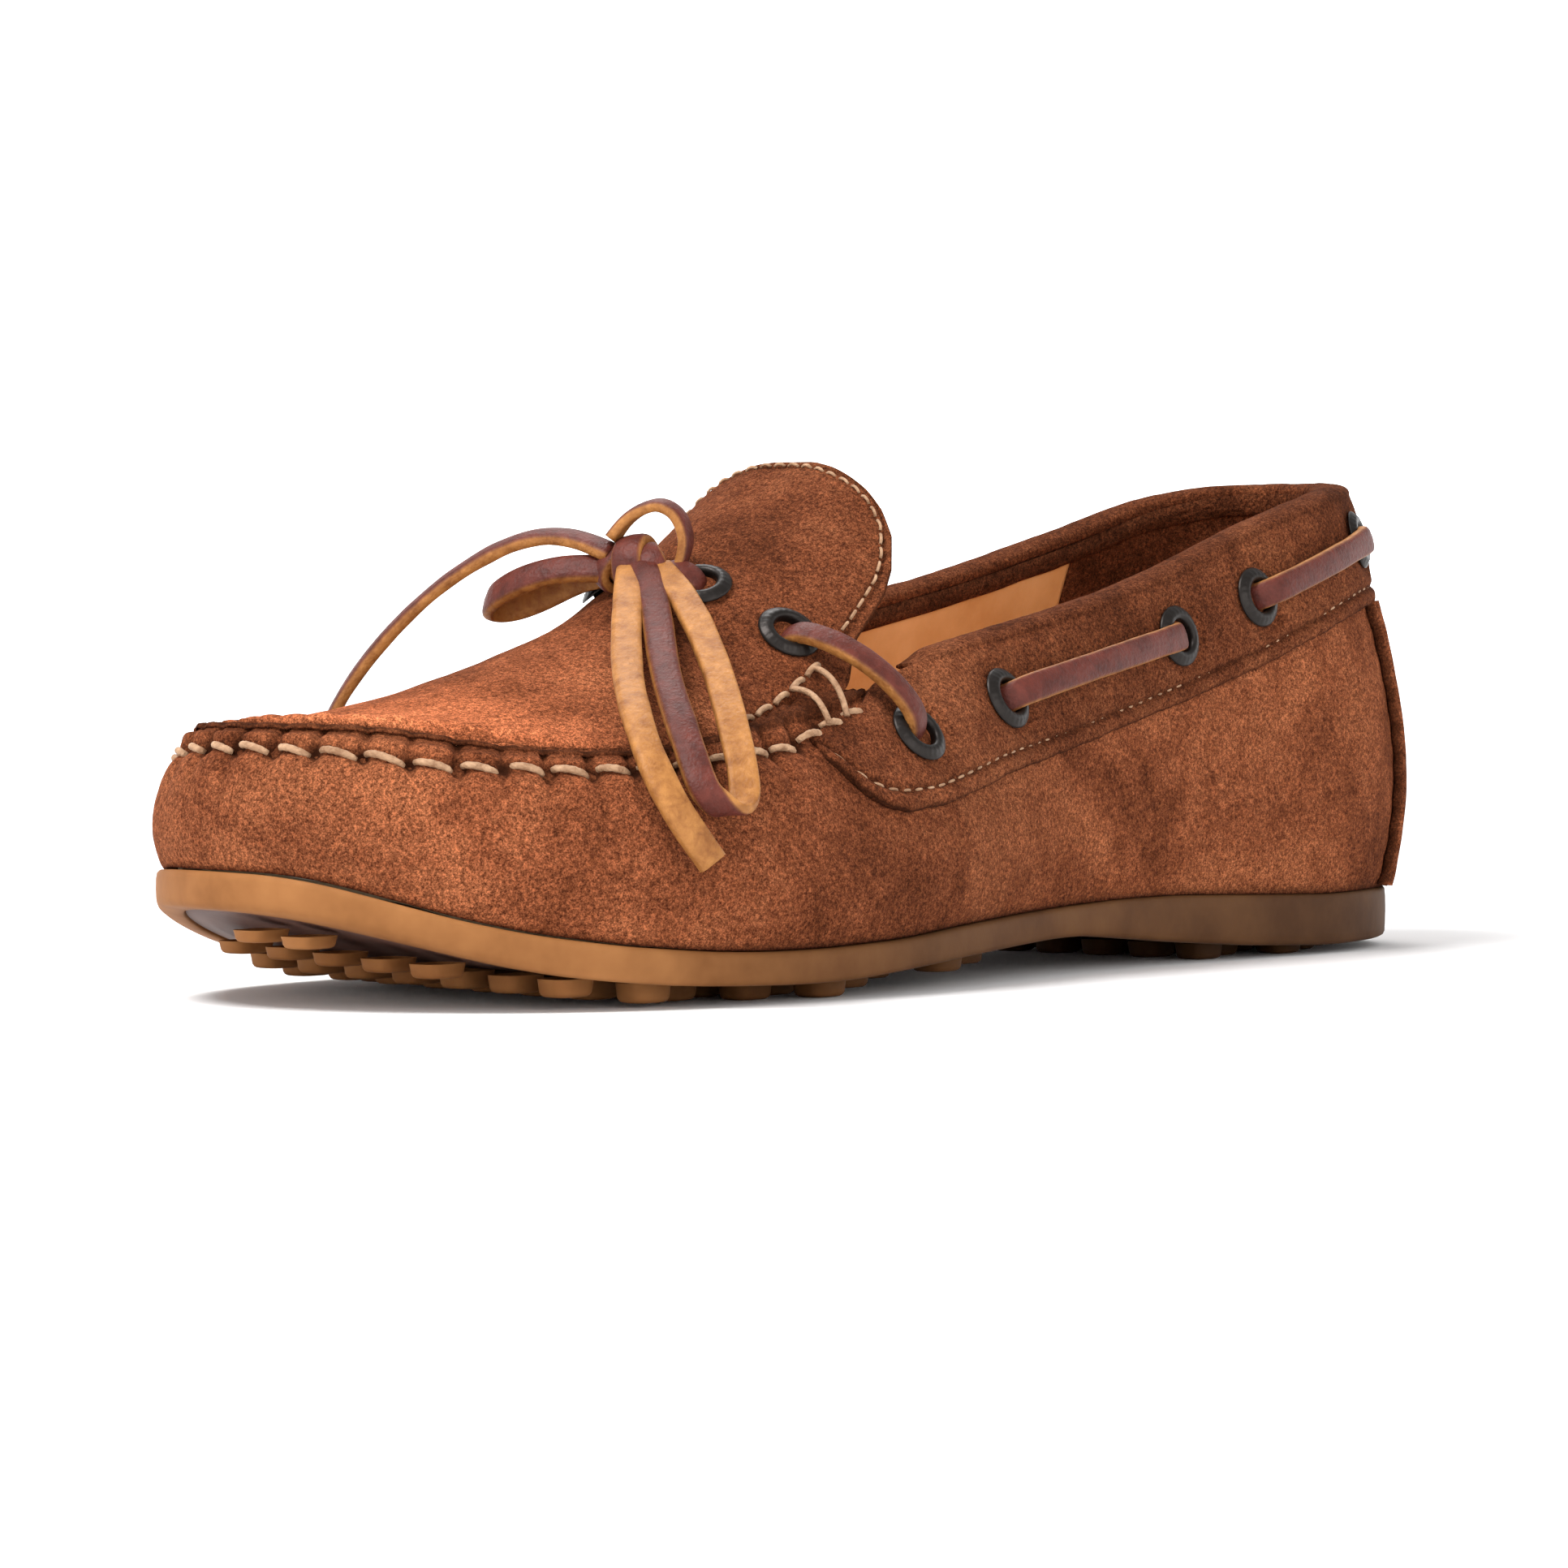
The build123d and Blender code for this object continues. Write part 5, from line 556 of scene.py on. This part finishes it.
# ------------------------------------------------------------------ eyelets
def eyelet_mesh(p, n, grip, seed):
    n = n / np.linalg.norm(n); a = np.cross(n, [0, 0, 1.0]); a /= np.linalg.norm(a); b = np.cross(n, a); R, r = EYELET_OD / 2, EYELET_BORE / 2; m = 96
    prof = [(r + 0.45, -grip - 1.4), (r, -grip - 1.4), (r, 0.55), (r + 0.12, 0.95), (r + 0.45, 1.26), (r + 0.95, 1.30), (r + 1.5, 1.16), (R - 0.75, 0.86), (R - 0.25, 0.55), (R, 0.22), (R - 0.02, 0.06), (r + 0.45, 0.06)]
    th = np.linspace(0, 2 * np.pi, m + 1)[:-1]; G = []
    for i, (q, z) in enumerate(prof):
        dz = -0.10 * (np.cos(th * 24) > 0.55) * (i in (6, 7)); G.append(p + a * (q * np.cos(th))[:, None] + b * (q * np.sin(th))[:, None] + n * (z + dz)[:, None])
    P, F = rings(G, True); return P, F
ae = [apron_frame(x, y, 0.15) for x, y in AE]; ce = [wall_frame(x, s, z, COLLAR_T + 0.25) for s in (1, -1) for x, z in CE]
P, F = join([eyelet_mesh(p, n, APRON_T + LINING_T, i) for i, (p, n) in enumerate(ae)]); mesh("eyelets_apron", P, F, M["gunmetal"], nodes=["apron_eyelets"])
P, F = join([eyelet_mesh(p, n, COLLAR_T + WALL_T, i) for i, (p, n) in enumerate(ce)]); mesh("eyelets_collar", P, F, M["gunmetal"], nodes=["collar_eyelets"])

# ------------------------------------------------------------------ rawhide lace
def dive(p, n, side, depth, out=1.55):
    s = side - (side @ n) * n; s /= np.linalg.norm(s); return [p - n * depth, p - n * 0.2, p + n * 1.5 + s * 0.9, p + n * (EYELET_PROUD + out) + s * 3.6], s
def run(A, B, lift, n_mid=9, seed=0):
    (pa, na), (pb, nb) = A, B; a, sa = dive(pa, na, pb - pa, 2.6); b, sb = dive(pb, nb, pa - pb, 2.6); P = list(a); N = [-sa, -sa * 0.85 + na * 0.5, na * 0.75 - sa * 0.6, na]
    for k in np.linspace(0, 1, n_mid + 2)[1:-1]: P.append(a[-1] * (1 - k) + b[-1] * k + (na + nb) / 2 * lift * 4 * k * (1 - k)); N.append(na * (1 - k) + nb * k)
    P += list(b)[::-1]; N += [nb, nb * 0.75 - sb * 0.6, -sb * 0.85 + nb * 0.5, -sb]; return P, N, dict(seed=seed, w=4.9, smooth=1.6)
for k, nm in ((0, "lace_lateral"), (1, "lace_medial")):
    C = ce[5 * k:5 * k + 5]; Rr = ae[2 * k + 1]; laces(nm + "_runs", [run(Rr, C[0], 2.2, seed=1 + k), run(C[1], C[2], 1.5, seed=3 + k), run(C[3], C[4], 1.7, seed=5 + k)], [nm])
KN = np.array([199.3, 0.6, 0.0]); KN[2] = float(apron(KN[0], KN[1])) + 3.7; kn = apron_n(KN[0], KN[1]).reshape(3)
def lead(i):
    p, n = ae[i]; q = KN + np.array([0, np.sign(p[1] - KN[1]) * 4.6, 0]) + kn * -1.6; a, s = dive(p, n, q - p, 2.6, 0.6); P = a[:3] + [p + n * 2.6 + s * 3.4, (p + n * 2.6 + s * 3.4) * .4 + q * .6, q]; return P, [-s, -s * .85 + n * .5, n * .75 - s * .6, n, (n + kn) / 2, kn], dict(seed=9 + i, w=4.9)
def knot():
    ax = np.cross([0, 1.0, 0], kn); ax /= np.linalg.norm(ax); ay = np.cross(kn, ax); items = [lead(0), lead(2)]
    def wrap(cx_, cy_, tilt, rx_, rz_, seed, a0=-0.25, a1=1.25, w=5.2):
        P, N = [], []; dirv = ax * math.cos(tilt) + ay * math.sin(tilt)
        for a in np.linspace(a0 * math.pi, a1 * math.pi, 22): P.append(KN + ax * cx_ + ay * cy_ + dirv * (rx_ * math.cos(a)) + kn * (rz_ * math.sin(a) - 0.6)); N.append(dirv * math.cos(a) + kn * math.sin(a))
        return P, N, dict(seed=seed, w=w, th=2.0, smooth=0.8, step=0.5)
    RI, RN = [(195.6, 7.2, 69.6), (194.9, 8.6, 74.2), (195.3, 7.0, 79.0), (196.6, 3.4, 81.0), (199.4, -0.8, 78.6), (201.4, -3.0, 74.6)], [(-.5, .8, .2), (-.4, .8, .4), (-.2, .7, .7), (.1, .2, 1), (.3, -.5, .8), (.4, -.8, .3)]
    items.append((RI, RN, dict(seed=41, w=4.6, th=2.0, smooth=1.6)))
    items += [wrap(0, 0.3, 0.35, 5.0, 4.6, 21), wrap(0.4, -2.6, -0.55, 4.4, 3.2, 23, w=4.4), wrap(-0.3, 3.2, 0.9, 4.2, 3.0, 25, w=4.4)]
    a = np.linspace(0, 2 * np.pi, 29)[:-1]; G = []
    for e in np.linspace(-0.5, 0.5, 13) * np.pi: G.append(KN + ax * (4.4 * np.cos(a) * math.cos(e))[:, None] + ay * (6.0 * np.sin(a) * math.cos(e))[:, None] + kn * (2.9 * math.sin(e)))
    lump = rings(G, False); ps, fs = [lump], [np.ones(len(lump[0])) * 0.6]
    for P, N, kw in items: p, f, c = lace_mesh(P, N, **kw); ps.append((p, f)); fs.append(c)
    P, F = join(ps); return mesh("bow_knot", P, F, M["rawhide"], nodes=["lace_knot"], attrs={"face": np.concatenate(fs)})
KNOT = knot()
ROUTES = {
 'bow_loop_lateral': ([(201.6,4.2,70.6),(207.0,11.0,66.4),(213.8,18.4,60.6),(220.6,25.2,55.4),(227.0,32.2,50.6),(232.6,39.4,45.4),(236.6,45.4,39.8),(238.6,49.6,34.4),(237.6,50.9,32.6),(235.7,51.5,31.3),(233.4,51.8,31.1),(231.3,52.0,32.6),(229.0,49.4,37.6),(223.4,42.0,46.0),(216.6,33.4,53.0),(209.8,23.6,60.2),(204.4,14.4,66.2),(201.0,7.0,69.6)],
   [(.5,.3,.8),(.5,.4,.75),(.5,.5,.7),(.5,.52,.68),(.5,.55,.66),(.55,.6,.58),(.6,.62,.5),(.62,.62,.48),(.68,.68,-.28),(.34,.34,-.88),(-.2,-.2,-.96),(-.62,-.62,-.48),(-.6,-.6,-.5),(-.5,-.55,-.62),(-.45,-.5,-.68),(-.4,-.5,-.7),(-.4,-.4,-.75),(-.4,-.3,-.8)]),
 'bow_tail_lateral': ([(201.4,1.6,70.4),(207.8,6.8,67.2),(216.0,13.4,61.6),(224.2,20.6,56.2),(232.4,28.4,51.0),(239.6,36.4,46.2),(244.4,43.6,39.6),(244.6,49.2,31.4),(239.8,52.6,23.2)],
   [(.5,.3,.8),(.5,.35,.8),(.5,.4,.75),(.5,.45,.7),(.5,.5,.7),(.5,.6,.6),(.5,.8,.35),(.4,.9,.15),(.4,.9,.1)]),
 'bow_tail_medial': ([(201.0,-2.8,72.4),(202.6,-8.6,74.8),(203.8,-14.6,75.6),(205.6,-21.0,74.4),(208.2,-27.4,71.2),(211.6,-33.4,66.6),(214.8,-39.0,60.8),(217.6,-44.5,54.0),(219.6,-49.5,46.4),(220.4,-53.0,38.0)],
   [(.3,0,1),(.3,0,1),(.35,0,1),(.4,-.1,.95),(.5,-.3,.85),(.55,-.4,.75),(.6,-.5,.65),(.6,-.55,.55),(.6,-.65,.45),(.6,-.75,.3)]),
 'bow_loop_medial': ([(202.2,-3.6,69.8),(206.0,-10.4,69.9),(208.2,-17.4,68.0),(208.6,-23.6,65.2),(205.2,-27.6,63.2),(200.8,-26.0,63.2),(198.6,-19.6,65.6),(198.2,-12.6,68.2),(198.8,-6.2,69.4)],
   [(.8,-.3,.5),(.85,-.3,.4),(.9,-.3,.3),(.75,-.6,.2),(.1,-1,.1),(-.8,-.5,.2),(-.9,.1,.3),(-.9,.2,.3),(-.85,.3,.4)]),
}
def arcs(P, N):
    P, N = np.array(P, float), np.array(N, float); L = np.linalg.norm(np.diff(P, axis=0), axis=1); pts, nor = [P[0]], [N[0]]
    for i in range(1, len(P) - 1):
        a, b = (P[i - 1] - P[i]) / L[i - 1], (P[i + 1] - P[i]) / L[i]; turn = np.pi - np.arccos(np.clip(a @ b, -1, 1)); c = 0.45 * min(L[i - 1], L[i]); r = c / np.tan(turn / 2); m = (a + b) / np.linalg.norm(a + b); C = P[i] + m * np.hypot(r, c); e1 = (P[i] + a * c - C) / r; e2 = (P[i] + b * c - C) / r
        for q in np.linspace(0, 1, 9): pts.append(C + (np.sin((1 - q) * turn) * e1 + np.sin(q * turn) * e2) / np.sin(turn) * r); nor.append(N[i])
    pts.append(P[-1]); nor.append(N[-1]); return np.array(pts), np.array(nor)
for i, (nm, (P, N)) in enumerate(ROUTES.items()):
    Q, Nq = arcs(P, N); Q, Nq = resamp(Q, 0.8, Nq, 0.0); s_ = np.arange(len(Q)) * 0.8; wg = np.exp(-.5 * ((s_[:, None] - s_[None]) / 2.0) ** 2); Nq = (wg @ Nq) / wg.sum(1)[:, None]
    p, f, c = lace_mesh(Q, Nq, seed=31 + i, smooth=1.4, step=0.8, flip=nm == "bow_tail_lateral")
    o = mesh(nm + "_hide", p, f, M["rawhide"], nodes=[nm], attrs={"face": c})

# ------------------------------------------------------------------ floor, light, camera
fl = bpy.data.meshes.new("floor"); fl.from_pydata([(-9, -9, 0), (9, -9, 0), (9, 9, 0), (-9, 9, 0)], [], [(0, 1, 2, 3)]); fm = bpy.data.materials.new("floor_white"); fm.use_nodes = True; fb = fm.node_tree.nodes["Principled BSDF"]; fb.inputs["Base Color"].default_value = (.86, .86, .86, 1); fb.inputs["Roughness"].default_value = 0.9
if "Specular IOR Level" in fb.inputs: fb.inputs["Specular IOR Level"].default_value = 0.0
ft = fm.node_tree; tc = ft.nodes.new("ShaderNodeTexCoord"); vl = ft.nodes.new("ShaderNodeVectorMath"); vl.operation = "LENGTH"; ft.links.new(tc.outputs["Object"], vl.inputs[0]); mr = ft.nodes.new("ShaderNodeMapRange"); mr.interpolation_type = "SMOOTHSTEP"
for k_, v_ in (("From Min", 0.22), ("From Max", 1.5), ("To Min", 0.0), ("To Max", 0.85)): mr.inputs[k_].default_value = v_
ft.links.new(vl.outputs["Value"], mr.inputs["Value"]); ft.links.new(mr.outputs[0], fb.inputs["Emission Strength"]); fb.inputs["Emission Color"].default_value = (1, 1, 1, 1)
fl.materials.append(fm); fo = bpy.data.objects.new("floor", fl); bpy.context.scene.collection.objects.link(fo)
w = bpy.data.worlds.new("studio"); bpy.context.scene.world = w; w.use_nodes = True; w.node_tree.nodes["Background"].inputs["Color"].default_value = (1, 1, 1, 1); w.node_tree.nodes["Background"].inputs["Strength"].default_value = 0.60
ang = np.linspace(0, 2 * np.pi, 65)[:-1]; wm = bpy.data.meshes.new("backdrop"); wm.from_pydata([(8 * math.cos(q), 8 * math.sin(q), z_) for z_ in (0, 2.6) for q in ang], [], [(k_, (k_ + 1) % 64, 64 + (k_ + 1) % 64, 64 + k_) for k_ in range(64)]); bm = bpy.data.materials.new("backdrop_white"); bm.use_nodes = True; bb_ = bm.node_tree.nodes["Principled BSDF"]; bb_.inputs["Base Color"].default_value = (.8, .8, .8, 1); bb_.inputs["Emission Color"].default_value = (1, 1, 1, 1); bb_.inputs["Emission Strength"].default_value = 1.0; wm.materials.append(bm); wo = bpy.data.objects.new("backdrop", wm); bpy.context.scene.collection.objects.link(wo)
def lamp(name, at, to, size, power, col=(1, 1, 1)):
    L = bpy.data.lights.new(name, "AREA"); L.energy = power; L.size = size; L.color = col; o = bpy.data.objects.new(name, L); bpy.context.scene.collection.objects.link(o); at, to = np.array(at, float), np.array(to, float)
    from mathutils import Vector
    o.location = at.tolist(); o.rotation_mode = "QUATERNION"; o.rotation_quaternion = Vector((to - at).tolist()).to_track_quat("-Z", "Y"); return o
lamp("key", (0.8, -0.15, 1.35), (0.03, 0, 0.03), 0.6, 26.0); lamp("back_top", (-0.6, -0.6, 1.2), (0, 0, 0.03), 0.6, 7.0); lamp("side", (0.5, 1.6, 0.8), (-0.02, 0, 0.03), 0.7, 6.0)
cam = bpy.data.cameras.new("cam"); cam.sensor_width = 36.0; cam.sensor_fit = "HORIZONTAL"; cam.lens = 7152 / 1932 * 36.0; cam.clip_start = 0.01; cam.clip_end = 100; co = bpy.data.objects.new("cam", cam); bpy.context.scene.collection.objects.link(co); bpy.context.scene.camera = co
from mathutils import Vector
c_at = put([925.75, 642.54, 60.47]); c_to = put([160.0, 0, 32.9]); co.location = c_at.tolist(); co.rotation_mode = "QUATERNION"; co.rotation_quaternion = Vector((c_to - c_at).tolist()).to_track_quat("-Z", "Y")
bpy.context.scene.view_settings.view_transform = "Standard"; bpy.context.scene.view_settings.look = "None"
